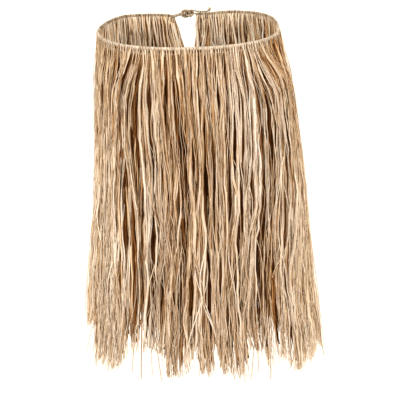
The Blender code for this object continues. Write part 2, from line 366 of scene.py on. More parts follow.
@dataclass(frozen=True)
class DryGrass:
    """Dried leaf or twine: a range of colours, with fine streaks along each strand.

    Attributes:
        name: what the finish is called.
        slot: the record's name for the material.
        stops: the colours from the darkest strand to the palest.
        roughness: how dull it is.
        streaks: how many streaks cross a millimetre.
        streak_length: how long a streak is.
        hollow: what colour a streak or a crinkle turns the strip.
        contrast: how far a streak turns it.
        crinkle: how long a crinkle is.
        crease: how far a crinkle turns it.
        relief: how high the fibres stand.
        relief_strength: how strongly that shows.
        gilding: what colour the warm attribute turns the strip.
        crinkles: how many times a crinkle changes in a metre across.
        shadow: the noise at which a streak or a crinkle shows fully, and at which it ends.
        gloss: how much the strip shines.
    """

    name: str
    slot: str
    stops: tuple[Stop, ...]
    roughness: float = 0.55
    streaks: float = 0.7
    streak_length: float = 0.070
    hollow: tuple[float, float, float] = (0.40, 0.27, 0.16)
    contrast: float = 0.42
    crinkle: float = 0.005
    crease: float = 0.26
    relief: float = 0.00015
    relief_strength: float = 0.6
    gilding: tuple[float, float, float] = (1.0, 0.86, 0.66)
    crinkles: float = 450.0
    shadow: tuple[float, float] = (0.34, 0.60)
    gloss: float = 0.05

    def made(self) -> Finish:
        """Builds the material.

        Returns:
            A finish that reads the tint, warm and fibre attributes of its piece.
        """
        material = bpy.data.materials.new(self.name)
        material.use_nodes = True
        nodes, links = material.node_tree.nodes, material.node_tree.links
        shader = nodes["Principled BSDF"]
        shader.inputs["Roughness"].default_value = self.roughness
        shader.inputs["Specular IOR Level"].default_value = self.gloss
        tint, warm = self._attribute(nodes, "tint"), self._attribute(nodes, "warm")
        fibre = self._attribute(nodes, "fibre")
        ramp = nodes.new("ShaderNodeValToRGB")
        self._fill(ramp)
        links.new(tint.outputs["Fac"], ramp.inputs["Fac"])
        golden = self._multiply(nodes, self.gilding)
        links.new(warm.outputs["Fac"], golden.inputs["Factor"])
        links.new(ramp.outputs["Color"], golden.inputs["A"])
        streak = self._noise(nodes, links, fibre, 1000.0 * self.streaks, 1.0 / self.streak_length)
        crease = self._noise(nodes, links, fibre, self.crinkles, 1.0 / self.crinkle)
        shaded = golden
        for noise, depth in ((streak, self.contrast), (crease, self.crease)):
            shade = nodes.new("ShaderNodeMapRange")
            shade.inputs["From Min"].default_value = self.shadow[0]
            shade.inputs["From Max"].default_value = self.shadow[1]
            shade.inputs["To Min"].default_value = depth
            shade.inputs["To Max"].default_value = 0.0
            links.new(noise.outputs["Fac"], shade.inputs["Value"])
            darker = self._multiply(nodes, self.hollow)
            links.new(shade.outputs["Result"], darker.inputs["Factor"])
            links.new(shaded.outputs["Result"], darker.inputs["A"])
            shaded = darker
        links.new(shaded.outputs["Result"], shader.inputs["Base Color"])
        bump = nodes.new("ShaderNodeBump")
        bump.inputs["Strength"].default_value = self.relief_strength
        bump.inputs["Distance"].default_value = self.relief
        links.new(streak.outputs["Fac"], bump.inputs["Height"])
        links.new(bump.outputs["Normal"], shader.inputs["Normal"])
        return Finish(material, self.slot)

    def _multiply(
        self, nodes: bpy.types.Nodes, colour: tuple[float, float, float]
    ) -> bpy.types.Node:
        """A node that multiplies what comes in by a colour, as far as its factor says."""
        node = nodes.new("ShaderNodeMix")
        node.data_type = "RGBA"
        node.blend_type = "MULTIPLY"
        node.inputs["B"].default_value = (*colour, 1.0)
        return node

    def _noise(
        self,
        nodes: bpy.types.Nodes,
        links: bpy.types.NodeLinks,
        fibre: bpy.types.Node,
        across: float,
        along: float,
    ) -> bpy.types.Node:
        """Noise drawn out along the strands.

        Args:
            nodes: the material's nodes.
            links: its links.
            fibre: the node that gives places across and along a strand.
            across: how many times the noise changes in a metre across.
            along: how many times it changes in a metre along.

        Returns:
            The noise node.
        """
        scaled = nodes.new("ShaderNodeMapping")
        scaled.inputs["Scale"].default_value = (across, along, 1.0)
        links.new(fibre.outputs["Vector"], scaled.inputs["Vector"])
        noise = nodes.new("ShaderNodeTexNoise")
        noise.inputs["Scale"].default_value = 1.0
        noise.inputs["Detail"].default_value = 2.0
        links.new(scaled.outputs["Vector"], noise.inputs["Vector"])
        return noise

    def _attribute(self, nodes: bpy.types.Nodes, name: str) -> bpy.types.Node:
        """A node that reads one of the piece's own attributes."""
        node = nodes.new("ShaderNodeAttribute")
        node.attribute_name = name
        return node

    def _fill(self, ramp: bpy.types.Node) -> None:
        """Gives the ramp this finish's colours."""
        elements = ramp.color_ramp.elements
        while len(elements) < len(self.stops):
            elements.new(0.5)
        for element, stop in zip(elements, self.stops):
            element.position = stop.at
            element.color = (*stop.colour, 1.0)


RAFFIA = DryGrass(
    "dry_raffia",
    "raffia",
    rows(
        Stop,
        (0.000, (0.060, 0.020, 0.005)), (0.135, (0.195, 0.074, 0.019)),
        (0.315, (0.415, 0.211, 0.074)), (0.495, (0.615, 0.433, 0.264)),
        (0.675, (0.752, 0.613, 0.468)), (0.900, (0.790, 0.687, 0.576)),
        (1.000, (0.875, 0.778, 0.668)),
    ),
)
BLEACHED = DryGrass(
    "bleached_raffia",
    "raffia",
    rows(
        Stop,
        (0.00, (0.100, 0.050, 0.022)), (0.50, (0.480, 0.348, 0.226)), (0.80, (0.690, 0.556, 0.420)),
        (1.00, (0.800, 0.688, 0.555)),
    ),
)
# painted light: a paler copy of the raffia for the inner grass, which lifts the inside of the skirt
# where the lamps reach less
SHADED = DryGrass(
    "shaded_raffia",
    "raffia_inner",
    rows(
        Stop,
        (0.000, (0.100, 0.032, 0.006)), (0.135, (0.235, 0.095, 0.024)),
        (0.315, (0.430, 0.240, 0.100)), (0.495, (0.655, 0.460, 0.278)),
        (0.675, (0.815, 0.658, 0.485)), (0.900, (0.870, 0.755, 0.605)),
        (1.000, (0.900, 0.800, 0.660)),
    ),
    roughness=0.6,
)
TWINE = DryGrass(
    "raffia_twine",
    "raffia_cord",
    rows(
        Stop,
        (0.00, (0.180, 0.105, 0.050)), (0.40, (0.600, 0.470, 0.325)), (1.00, (0.900, 0.780, 0.610)),
    ),
    roughness=0.65,
    streaks=2.0,
    streak_length=0.006,
    contrast=0.50,
)


@dataclass
class Tubes:
    """Many closed tubes of one section, joined in one mesh and carried to their places.

    Attributes:
        sides: how many sides the section has.
        rings: how many rings each tube has along its length.
        count: how many tubes there are.
    """

    sides: int
    rings: int
    count: int

    def _one(self) -> bmesh.types.BMesh:
        """A straight upright tube, with its ends closed, one ring for each whole height."""
        made = bmesh.new()
        top = self.rings - 1.0
        bmesh.ops.create_cone(
            made,
            cap_ends=True,
            segments=self.sides,
            radius1=1.0,
            radius2=1.0,
            depth=top,
            matrix=Matrix.Translation((0.0, 0.0, top / 2.0)),
        )
        upright = [e for e in made.edges if abs(e.verts[0].co.z - e.verts[1].co.z) > 0.5]
        bmesh.ops.subdivide_edges(made, edges=upright, cuts=self.rings - 2)
        return made

    def joined(self) -> tuple[bmesh.types.BMesh, np.ndarray, np.ndarray]:
        """Joins the tubes and says where each point of one of them belongs.

        Returns:
            The joined mesh, and for each point of one tube its ring and its side.
        """
        one = self._one()
        points = np.array([vertex.co[:] for vertex in one.verts])
        ring = np.rint(points[:, 2]).astype(int)
        turn = np.arctan2(points[:, 1], points[:, 0])
        turn = (turn - turn[0]) / (2.0 * math.pi)
        side = np.rint(turn * self.sides).astype(int) % self.sides
        mesh = bpy.data.meshes.new("tube")
        one.to_mesh(mesh)
        one.free()
        joined = bmesh.new()
        for _ in range(self.count):
            joined.from_mesh(mesh)
        bpy.data.meshes.remove(mesh)
        return joined, ring, side

    def piece(
        self,
        name: str,
        corners: np.ndarray,
        tint: np.ndarray,
        warm: np.ndarray,
        fibre: np.ndarray,
    ) -> bpy.types.Object:
        """Makes the piece.

        Args:
            name: the piece's name.
            corners: the tubes' corners, by tube, ring and side, with three columns.
            tint: how pale the grass is there, by tube, ring and side.
            warm: how golden the grass is there, by tube, ring and side.
            fibre: places across and along the strip, by tube, ring and side, with three columns.

        Returns:
            The object, whose mesh has its points in place.
        """
        joined, ring, side = self.joined()
        mesh = bpy.data.meshes.new(name)
        joined.to_mesh(mesh)
        joined.free()
        mesh.vertices.foreach_set("co", corners[:, ring, side].astype(np.float32).ravel())
        for attribute, values in (("tint", tint), ("warm", warm)):
            shades = mesh.attributes.new(attribute, "FLOAT", "POINT")
            shades.data.foreach_set("value", values[:, ring, side].astype(np.float32).ravel())
        lines = mesh.attributes.new("fibre", "FLOAT_VECTOR", "POINT")
        lines.data.foreach_set("vector", fibre[:, ring, side].astype(np.float32).ravel())
        smooth = self.sides != Blade.FOLDED.value
        mesh.polygons.foreach_set("use_smooth", np.full(len(mesh.polygons), smooth))
        mesh.update()
        item = bpy.data.objects.new(name, mesh)
        bpy.context.scene.collection.objects.link(item)
        return item


@dataclass
class Strip:
    """Many strips of raffia that run along given lines.

    Attributes:
        blade: how the strips have dried.
        line: their centre lines, by strip and ring, with three columns.
        out: the way out of the skirt there.
        width: how wide they are, by strip and ring.
        crown: how high their middle stands over their edges.
        twist: how far they are turned about their line, in radians.
        tint: how pale they are.
        warm: how golden they are, by strip, and by ring or for all of it.
        thick: how thick they are.
        edge: how much darker their edges are, as painted shade.
        arch: how rounded they are across, as a power.
        rim: how narrow the darker and more golden edges of painted shade are, as a power.
        edge_shade_gold: how much more golden the edges are, as painted shade.
        spacing: how far apart the streaks of two strips lie.
    """

    blade: Blade
    line: np.ndarray
    out: np.ndarray
    width: np.ndarray
    crown: np.ndarray
    twist: np.ndarray
    tint: np.ndarray
    warm: np.ndarray
    thick: float | np.ndarray = 0.0005
    edge: float = 0.46
    arch: float = 1.5
    rim: int = 3
    edge_shade_gold: float = 0.4
    spacing: float = 7.31

    def piece(self, name: str) -> bpy.types.Object:
        """Builds the strips as one piece."""
        count, rings = self.width.shape
        tangent = np.gradient(self.line, axis=1)
        tangent /= np.linalg.norm(tangent, axis=-1, keepdims=True)
        across = np.cross(self.out, tangent)
        across /= np.linalg.norm(across, axis=-1, keepdims=True)
        face = np.cross(tangent, across)
        cosine, sine = np.cos(self.twist)[..., None], np.sin(self.twist)[..., None]
        across, face = cosine * across + sine * face, cosine * face - sine * across
        turn = np.arange(self.blade.value) * 2.0 * math.pi / self.blade.value
        reach, skin = np.cos(turn), np.sin(turn)
        rise = 1.0 - np.abs(reach) ** self.arch
        sideways = self.width[..., None] * reach / 2.0
        lifted = self.crown[..., None] * rise + self.thick * skin / 2.0
        corners = (
            self.line[:, :, None]
            + across[:, :, None] * sideways[..., None]
            + face[:, :, None] * lifted[..., None]
        )
        steps = np.linalg.norm(np.diff(self.line, axis=1), axis=-1)
        length = np.concatenate([np.zeros((count, 1)), np.cumsum(steps, axis=1)], axis=1)
        apart = np.arange(count) * self.spacing
        fibre = np.stack(
            [
                sideways + 0.35 * apart[:, None, None],
                np.broadcast_to((length + apart[:, None])[..., None], sideways.shape),
                np.broadcast_to(apart[:, None, None], sideways.shape),
            ],
            axis=-1,
        )
        # painted shade: each strip turns darker and more golden towards its edges
        tint = np.clip(self.tint[..., None] - self.edge * np.abs(reach) ** self.rim, 0.0, 1.0)
        warm = self.warm.reshape(count, -1, 1) + self.edge_shade_gold * np.abs(reach) ** self.rim
        warm = np.broadcast_to(np.clip(warm, 0.0, 1.0), tint.shape)
        return Tubes(self.blade.value, rings, count).piece(name, corners, tint, warm, fibre)


def dressed(item: bpy.types.Object, finish: Finish, *nodes: str) -> bpy.types.Object:
    """Gives a piece its material and its body, and hides the CAD nodes that it stands for.

    Args:
        item: the piece.
        finish: its material and slot.
        nodes: the CAD nodes that it replaces.

    Returns:
        The piece.
    """
    item.data.materials.append(finish.material)
    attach(item, BODY)
    if nodes:
        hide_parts(*nodes)
    log.info("%s: %d faces", item.name, len(item.data.polygons))
    return item


class Plies(NamedTuple):
    """A cord's two plies: their rings, their radius and how far they stand off its middle."""

    rings: int
    radius: float
    offset: float


@dataclass
class WaistTie:
    """The cord round the waist, its knot over the back opening and its free end.

    Attributes:
        cord_plies: the plies of the cord round the waist.
        knot_plies: the plies of the knot's turns.
        tail_plies: the plies of the free end.
        lay: the length over which the plies go once round each other.
        bare_end: how much of the cord lies bare between the knot and the slit's left edge.
        bare_swelling: how much thicker it is there, as a share.
        knot_middle: where the knot sits.
        knot_half: the knot's half width, half depth and half height.
        knot_lobe: how far the knot's three lobes reach in and out, as a share of its size.
        knot_points: how many points the knot's line has.
        knot_sides: how far to each side the cord meets the knot, as a share of its half width.
        core_length: how much of the knot's width its dark inside of painted shade takes, as a share.
        core_height: how high that is in its middle, as a share of the knot's half height.
        core_thick: how thick it is.
        tail: the free end's route, as stations and heights over the cord.
        tail_length: the free end's length.
        tail_width: the free end's diameter.
        tail_tip: how much of the free end is loosened.
        tip_swelling: how much thicker it is there, as a share.
    """

    cord_plies: Plies = Plies(320, 0.00095, 0.00075)
    knot_plies: Plies = Plies(150, 0.00160, 0.00115)
    tail_plies: Plies = Plies(50, 0.00095, 0.00066)
    lay: float = 0.0085
    bare_end: float = 0.026
    bare_swelling: float = 1.1
    knot_middle: tuple[float, float, float] = (-0.0028, 0.1065, 0.0036)
    knot_half: tuple[float, float, float] = (0.0106, 0.0030, 0.0064)
    knot_lobe: float = 0.42
    knot_points: int = 97
    knot_sides: float = 0.9
    core_length: float = 0.8
    core_height: float = 1.5
    core_thick: float = 0.0016
    tail: tuple[tuple[float, float], ...] = (
        (0.0030, 0.0068), (0.0060, 0.0072), (0.0100, 0.0064), (0.0145, 0.0050),
        (0.0200, 0.0043), (0.0260, 0.0041), (0.0320, 0.0041), (0.0355, 0.0045),
        (0.0380, 0.0058), (0.0395, 0.0080), (0.0400, 0.0106),
    )
    tail_length: float = 0.041
    tail_width: float = 0.0028
    tail_tip: float = 0.009
    tip_swelling: float = 1.0

    def build(self, finish: Finish) -> None:
        """Makes the cord, the knot and the free end."""
        cord = self.twisted(
            "waist_cord_rope", self.waist_line(), self.cord_plies, self.bare_swelling, self.bare_end
        )
        dressed(cord, finish, "waist_cord")
        knot = self.twisted("tie_knot_rope", self.knot_line(), self.knot_plies)
        dressed(knot, finish, "tie_knot")
        dressed(self.knot_shade_sheet(), finish, "tie_knot")
        route = self.tail_line()
        tail = self.twisted(
            "tie_tail_rope", route, self.tail_plies, self.tip_swelling, self.tail_tip
        )
        dressed(tail, finish, "tie_tail")

    def knot_line(self) -> np.ndarray:
        """The knot's closed line: twice round, and three times over and under."""
        turn = np.linspace(0.0, 2.0 * math.pi, self.knot_points)
        reach = (1.0 + self.knot_lobe * np.cos(3.0 * turn)) / (1.0 + self.knot_lobe)
        wide, deep, high = self.knot_half
        path = np.stack(
            [
                wide * reach * np.cos(2.0 * turn),
                deep * np.sin(3.0 * turn),
                high * reach * np.sin(2.0 * turn),
            ],
            axis=-1,
        )
        return path + np.array(self.knot_middle)

    def knot_shade_sheet(self) -> bpy.types.Object:
        """A dark strip inside the knot, seen between its turns: painted shade."""
        wide, _, high = self.knot_half
        along = np.linspace(-self.core_length, self.core_length, 9)
        width = np.sqrt(1.0 - along**2)[None] * self.core_height * high
        line = np.array(self.knot_middle) + wide * along[:, None] * (1.0, 0.0, 0.0)
        away = np.broadcast_to((0.0, 1.0, 0.0), line.shape)
        zeros = np.zeros_like(width)
        # painted shade: the strip takes the darkest tint of the twine
        return Strip(
            Blade.CUPPED,
            line[None],
            away[None],
            width,
            crown=zeros,
            twist=zeros,
            tint=zeros,
            warm=np.zeros(1),
            thick=self.core_thick,
        ).piece("tie_knot_shade_sheet")

    def waist_line(self) -> np.ndarray:
        """The cord's line, from one side of the knot round the waist to its other side."""
        stations = np.linspace(FORM.right_edge, FORM.left_edge, 240)
        zeros = np.zeros_like(stations)
        round_waist, _ = FORM.place(stations, zeros, zeros, zeros)
        aside = (self.knot_half[0] * self.knot_sides, 0.0, 0.0)
        start = np.array(self.knot_middle) + aside
        end = np.array(self.knot_middle) - aside
        return np.concatenate([[start], round_waist, [end]])

    def tail_line(self) -> np.ndarray:
        """The free end's line over the loops beside the knot."""
        stations, heights = np.array(self.tail).T
        zeros = np.zeros_like(stations)
        return FORM.place(stations, zeros, zeros, heights)[0]

    def twisted(
        self,
        name: str,
        route: np.ndarray,
        plies: Plies,
        swelling: float = 0.0,
        loosened: float = 0.0,
    ) -> bpy.types.Object:
        """Two plies laid round each other along a route.

        Args:
            name: the piece's name.
            route: the points that the cord follows.
            plies: its plies.
            swelling: how much thicker the cord's last stretch is, as a share.
            loosened: how long that stretch is.

        Returns:
            The piece.
        """
        steps = np.linalg.norm(np.diff(route, axis=0), axis=-1)
        along = np.concatenate([[0.0], np.cumsum(steps)])
        at = np.linspace(0.0, along[-1], plies.rings)
        line = np.stack([np.interp(at, along, route[:, axis]) for axis in range(3)], axis=-1)
        tangent = np.gradient(line, axis=0)
        tangent /= np.linalg.norm(tangent, axis=-1, keepdims=True)
        level = np.cross(tangent, np.array([0.0, 0.12, 1.0]))
        level /= np.linalg.norm(level, axis=-1, keepdims=True)
        up = np.cross(level, tangent)
        turn = 2.0 * math.pi * at / self.lay
        swell = 1.0 + swelling * smooth_step((at - at[-1] + loosened) / self.lay)
        wound = []
        for start in (0.0, math.pi):
            swing = level * np.cos(turn + start)[:, None] + up * np.sin(turn + start)[:, None]
            wound.append(line + swing * plies.offset * swell[:, None])
        lines = np.stack(wound)
        chance = np.random.default_rng(3)
        width = np.broadcast_to(2.0 * plies.radius * swell, lines.shape[:2])
        return Strip(
            Blade.CUPPED,
            lines,
            np.broadcast_to(level, lines.shape),
            width,
            np.zeros_like(width),
            np.broadcast_to(-turn, width.shape),
            np.clip(0.5 + 0.2 * chance.standard_normal(width.shape), 0.0, 1.0),
            np.zeros(len(width)),
            thick=width[..., None],
        ).piece(name)


class LegPoint(NamedTuple):
    """A place of a leg: how far out and up, how far from its loop's middle, how wide and pale."""

    out: float
    height: float
    apart: float
    width: float
    pale: float


@dataclass
class Heading:
    """The row of loops over the cord: each is a folded bundle whose two legs open a small hole.

    Attributes:
        loops: how many loops there are.
        leg: a leg's way over the cord, from the outside of the skirt to the inside.
        thick: how thick a leg is.
        back_top_shade: how much darker the tops of the loops are behind, as painted shade.
        back_shade_span: how far round from the front that painted shade starts, and over how much of
            the way round.
        holed: between which shares of the way round the holes are widest.
        wider: how much wider they are there.
        opening: how wide a hole is, at least and at most, before that.
        limits: how wide it is in the end, at least and at most.
        uneven: how unlike in size the loops are.
        strayed: how far a leg strays along the waist.
        crown: how high a leg's middle stands over its edges.
        turned: how far a leg turns about its line, in radians.
        unlike: how unlike in paleness legs are, and places of one leg.
        golden: how golden a leg may be.
        edge: how much darker its edges are, as painted shade.
    """

    loops: int = 176
    leg: tuple[LegPoint, ...] = rows(
        LegPoint,
        (0.0006, -0.0140, 0.00120, 0.0024, 0.70), (0.0018, -0.0095, 0.00150, 0.0018, 0.75),
        (0.0022, -0.0062, 0.00180, 0.0011, 0.70), (0.0021, -0.0032, 0.00180, 0.0011, 0.78),
        (0.0021, -0.0013, 0.00125, 0.0022, 0.86), (0.0018, 0.0006, 0.00115, 0.0026, 0.92),
        (0.0011, 0.0017, 0.00112, 0.0026, 0.96), (0.0000, 0.0021, 0.00112, 0.0026, 0.96),
        (-0.0011, 0.0017, 0.00112, 0.0026, 0.92), (-0.0018, 0.0006, 0.00115, 0.0025, 0.90),
        (-0.0021, -0.0014, 0.00120, 0.0024, 0.85), (-0.0021, -0.0030, 0.00125, 0.0023, 0.80),
        (-0.0020, -0.0060, 0.00125, 0.0022, 0.75), (-0.0008, -0.0120, 0.00120, 0.0024, 0.60),
    )
    thick: float = 0.0011
    back_top_shade: float = 0.42
    back_shade_span: tuple[float, float] = (0.22, 0.06)
    holed: tuple[float, float] = (0.44, 0.61)
    wider: float = 0.30
    opening: tuple[float, float] = (0.45, 1.0)
    limits: tuple[float, float] = (0.4, 1.15)
    uneven: float = 0.10
    strayed: float = 0.00015
    crown: float = 0.0002
    turned: float = 0.12
    unlike: tuple[float, float] = (0.18, 0.09)
    golden: float = 0.15
    edge: float = 0.18

    @property
    def pitch(self) -> float:
        """The length of waist that one loop takes."""
        return (FORM.left_edge - FORM.right_edge) / self.loops

    def roots(self, each: float) -> np.ndarray:
        """The stations that strands start at, spaced so many for each loop."""
        return np.linspace(FORM.right_edge, FORM.left_edge, int(self.loops * each) + 1)

    def build(self, finish: Finish) -> None:
        """Makes every leg of the row as one piece."""
        chance = np.random.default_rng(8)
        loops = FORM.right_edge + self.pitch * (np.arange(self.loops) + 0.5)
        middles = np.repeat(loops, 2)[:, None]
        sides = np.tile([-1.0, 1.0], self.loops)[:, None]
        out, height, apart, width, pale = (np.array(part)[None] for part in zip(*self.leg))
        uneven = 1.0 + self.uneven * chance.standard_normal(middles.shape)
        wide = np.abs(loops / FORM.girth - sum(self.holed) / 2.0) < np.ptp(self.holed) / 2.0
        opened = chance.uniform(*self.opening, self.loops) + np.where(wide, self.wider, 0.0)
        opened = np.repeat(np.clip(opened, *self.limits), 2)[:, None]
        strayed = self.strayed * chance.standard_normal(middles.shape)
        station = middles + sides * apart * opened + strayed
        drop = np.clip(-height, 0.0, None) + np.zeros_like(station)
        station = FORM.leaned(station, drop)
        lift = np.clip(height, 0.0, None) + np.zeros_like(station)
        line, away = FORM.place(station, drop, out * uneven, lift)
        up = np.array([0.0, 0.0, 1.0])
        lean = (out / np.abs(out).max())[..., None]
        facing = away * lean + up * (1.0 - np.abs(lean))
        # painted shade: the tops of the loops at the back are darkened
        begin, length = self.back_shade_span
        behind = smooth_step((np.abs(middles / FORM.girth - 0.5) - begin) / length)
        on_top = smooth_step((height + 0.0030) / 0.0025)
        leg, place = self.unlike
        tint = pale - self.back_top_shade * behind * on_top + leg * chance.standard_normal(middles.shape)
        shape = station.shape
        legs = Strip(
            Blade.CUPPED,
            line,
            facing,
            width * (2.0 - uneven),
            np.full(shape, self.crown),
            self.turned * chance.standard_normal(shape),
            tint + place * chance.standard_normal(shape),
            self.golden * chance.random(len(middles)),
            thick=self.thick,
            edge=self.edge,
        ).piece("heading_loops")
        dressed(legs, finish, "outer_fringe")


@dataclass
class Layer:
    """One depth of grass.

    Attributes:
        each: how many strands there are for each loop of the heading.
        blade: how the strips have dried.
        root: how far out a strand starts.
        hung: how far out it hangs, lower down.
        width: a strip's usual width.
        tint: how pale they are; the deeper layers are given darker tints, as painted shade.
        rings: how many rings a strip has.
        own: how far a strand strays from its lock near the hem.
        slant: how far a strand leans out of its lock by the hem.
        short: how much shorter than the hem its strands are, on the whole.
        ragged: how unevenly they end.
        spread: how far apart the strands of the layer hang, out and in.
        top: the drop at which they start.
        root_width: how wide they are there, as a share of their width.
        bound: how closely they keep to their lock, as a share.
        varied: how unlike in width they are.
        gold: how golden they all are; some deeper layers are more golden, as painted shade.
    """

    each: float
    blade: Blade
    root: float
    hung: float
    width: float
    tint: float
    rings: int
    own: float = 0.0020
    slant: float = 0.0040
    short: float = 0.0
    ragged: float = 0.014
    spread: float = 0.0010
    top: float = 0.0090
    root_width: float = 0.35
    bound: float = 1.0
    varied: float = 0.35
    gold: float = 0.05


class Locks(NamedTuple):
    """The locks that strands are drawn together in, in order round the waist.

    Their edges are stations. Their ways sideways and how closely they are drawn are given for each
    of the fringe's knees. Each has a chance value too, which its strands share.
    """

    edges: np.ndarray
    ways: np.ndarray
    drawn: np.ndarray
    values: np.ndarray


class Batch(NamedTuple):
    """The strands of a layer that are made together.

    Attributes:
        layer: their layer.
        start: the stations that they leave from.
        value: how unlike the others each strand's lock is.
        chance: where their chance lie comes from.
    """

    layer: Layer
    start: np.ndarray
    value: np.ndarray
    chance: np.random.Generator

    @property
    def each(self) -> tuple[int, int]:
        """The shape of a column with one value for each strand."""
        return len(self.start), 1

    @property
    def share(self) -> np.ndarray:
        """The shares of the way round that they leave from."""
        return self.start / FORM.girth


@dataclass(frozen=True)
class Breadth:
    """How wide a strip of raffia is along its length.

    Attributes:
        opening: the length over which it opens out under its root.
        uneven: how uneven it is, as a share.
        narrowed: how much narrower it is low down, as a share.
        narrowing: the drop by which it is so.
        tip: what share of the strip its tip takes.
        least: how narrow it may be.
        most: how wide it may be.
    """

    opening: float = 0.06
    uneven: float = 0.18
    narrowed: float = 0.28
    narrowing: float = 0.62
    tip: float = 0.020
    least: float = 0.0009
    most: float = 0.0062

    def widths(self, batch: Batch, share: np.ndarray, drop: np.ndarray) -> np.ndarray:
        """The widths of a batch of strips.

        Args:
            batch: the batch.
            share: how far along a strip each ring is.
            drop: how far down it is, by strip and ring.

        Returns:
            The widths, by strip and ring.
        """
        layer, chance = batch.layer, batch.chance
        width = layer.width * np.exp(layer.varied * chance.standard_normal(batch.each))
        grown = smooth_step((drop - layer.top) / self.opening)
        width = width * (layer.root_width + (1.0 - layer.root_width) * grown)
        width = width * (1.0 + self.uneven * chance.standard_normal(width.shape))
        width = width * (1.0 - self.narrowed * np.clip(drop / self.narrowing, 0.0, 1.0) ** 2.5)
        tip = np.clip((1.0 - share) / self.tip, 0.50, 1.0)
        return np.clip(width * tip, self.least, self.most)


@dataclass(frozen=True)
class Shading:
    """How pale and how golden the grass is.

    Attributes:
        bleached: how much paler the grass is round the skirt, high up and low down; partly the
            grass's own paleness and partly painted light, which lifts the lower sides.
        paling: the drop at which that starts to change, and the length over which it does.
        toasted: where the sun has turned the tops of the grass golden.
        toast: how far down that reaches.
        glows: where golden strands are likely.
        seldom: how likely they are elsewhere.
        gold: how golden they are, at least and at most.
        unevenly: how unlike in gold all the strands are.
        darkened: how much darker a golden strand is, and from how golden on.
        brown: how much darker the brown strands are.
        browned: what share of the strands is brown.
        unlike: how unlike in paleness strands are, and locks, and places of one strand.
        ended: how much paler a strand is at the hem.
        palest: how pale the palest strand is, before it is bleached.
        face: how far from the middle the grass hangs from which on it gets none of the painted
            shade.
        shade_fade: the depth over which that painted shade comes in.
        painted_shade: how much more golden a strand is that lies under others, as painted shade.
    """

    bleached: tuple[Paleness, ...] = rows(
        Paleness,
        (0.000, 0.16, 0.00), (0.100, 0.18, 0.04), (0.180, 0.16, 0.10), (0.240, 0.00, 0.24),
        (0.290, 0.02, 0.62), (0.325, 0.00, 0.60), (0.350, 0.06, 0.26), (0.385, 0.20, -0.03),
        (0.420, 0.17, -0.06), (0.450, -0.07, -0.07), (0.500, -0.13, -0.10), (0.560, -0.09, -0.06),
        (0.600, 0.02, 0.10), (0.630, 0.09, 0.32), (0.660, 0.08, 0.46), (0.700, 0.04, 0.52),
        (0.760, 0.00, 0.30), (0.820, 0.10, 0.04), (1.000, 0.10, 0.00),
    )
    paling: tuple[float, float] = (0.10, 0.38)
    toasted: tuple[Toast, ...] = rows(
        Toast,
        (0.175, 0.00), (0.210, 0.55), (0.250, 0.60), (0.290, 0.45), (0.318, 0.55), (0.335, 0.00),
        (0.955, 0.00), (0.970, 0.35),
    )
    toast: float = 0.055
    glows: tuple[Glow, ...] = rows(
        Glow,
        (0.26, 0.34, 0.040), (0.18, 0.30, 0.035), (0.955, 0.40, 0.020),
    )
    seldom: float = 0.03
    gold: tuple[float, float] = (0.35, 0.9)
    unevenly: float = 0.10
    darkened: tuple[float, float] = (0.6, 0.40)
    brown: float = 0.40
    browned: float = 0.13
    unlike: tuple[float, float, float] = (0.14, 0.05, 0.09)
    ended: float = 0.17
    palest: float = 0.9
    face: float = 0.0066
    shade_fade: float = 0.0050
    painted_shade: float = 0.55

    def shades(
        self, batch: Batch, station: np.ndarray, drop: np.ndarray, out: np.ndarray
    ) -> tuple[np.ndarray, np.ndarray]:
        """The colours of a batch of strands.

        Args:
            batch: the batch.
            station: where the strands hang, by strand and ring.
            drop: how far down that is.
            out: how far out that is.

        Returns:
            How pale and how golden the strands are, by strand and ring.
        """
        chance = batch.chance
        strand, lock, place = self.unlike
        tint = batch.layer.tint + strand * chance.standard_normal(batch.each)
        tint = tint + lock * batch.value[:, None]
        tint = tint - self.brown * (chance.random(batch.each) < self.browned)
        tint = tint + place * chance.standard_normal(drop.shape) + self.ended * (drop / 0.6) ** 3
        high = FORM.read(self.bleached, "share", "high", station / FORM.girth)
        low = FORM.read(self.bleached, "share", "low", station / FORM.girth)
        golden = self.golden(batch)[:, None]
        toasted = FORM.read(self.toasted, "share", "gold", batch.share)[:, None]
        golden = golden + toasted * (1.0 - smooth_step(drop / self.toast))
        much, least = self.darkened
        tint = tint - much * np.clip(golden - least, 0.0, 1.0)
        # partly painted light: the paleness table lifts the lower sides, which the lamps light less
        begin, length = self.paling
        pale_and_lit = high + (low - high) * smooth_step((drop - begin) / length)
        tint = self.palest * np.clip(tint, 0.0, 1.0) + pale_and_lit
        # painted shade: strands that hang deeper than the face are made more golden, which darkens
        # and warms them
        painted_shade = np.clip((self.face - np.abs(out)) / self.shade_fade, 0.0, 1.0)
        return tint, np.clip(golden + self.painted_shade * painted_shade, 0.0, 1.0)

    def golden(self, batch: Batch) -> np.ndarray:
        """How golden each strand of a batch is, apart from what the sun has toasted."""
        likely = self.seldom + np.zeros_like(batch.share)
        for glow in self.glows:
            likely += glow.likely * np.exp(-(((batch.share - glow.share) / glow.broad) ** 2))
        picked = batch.chance.random(len(likely)) < likely
        warm = np.where(picked, batch.chance.uniform(*self.gold, len(likely)), 0.0)
        warm += FORM.read(self.bleached, "share", "low", batch.share)
        uneven = self.unevenly * batch.chance.standard_normal(len(likely))
        return np.clip(warm + batch.layer.gold + uneven, 0.0, 1.0)


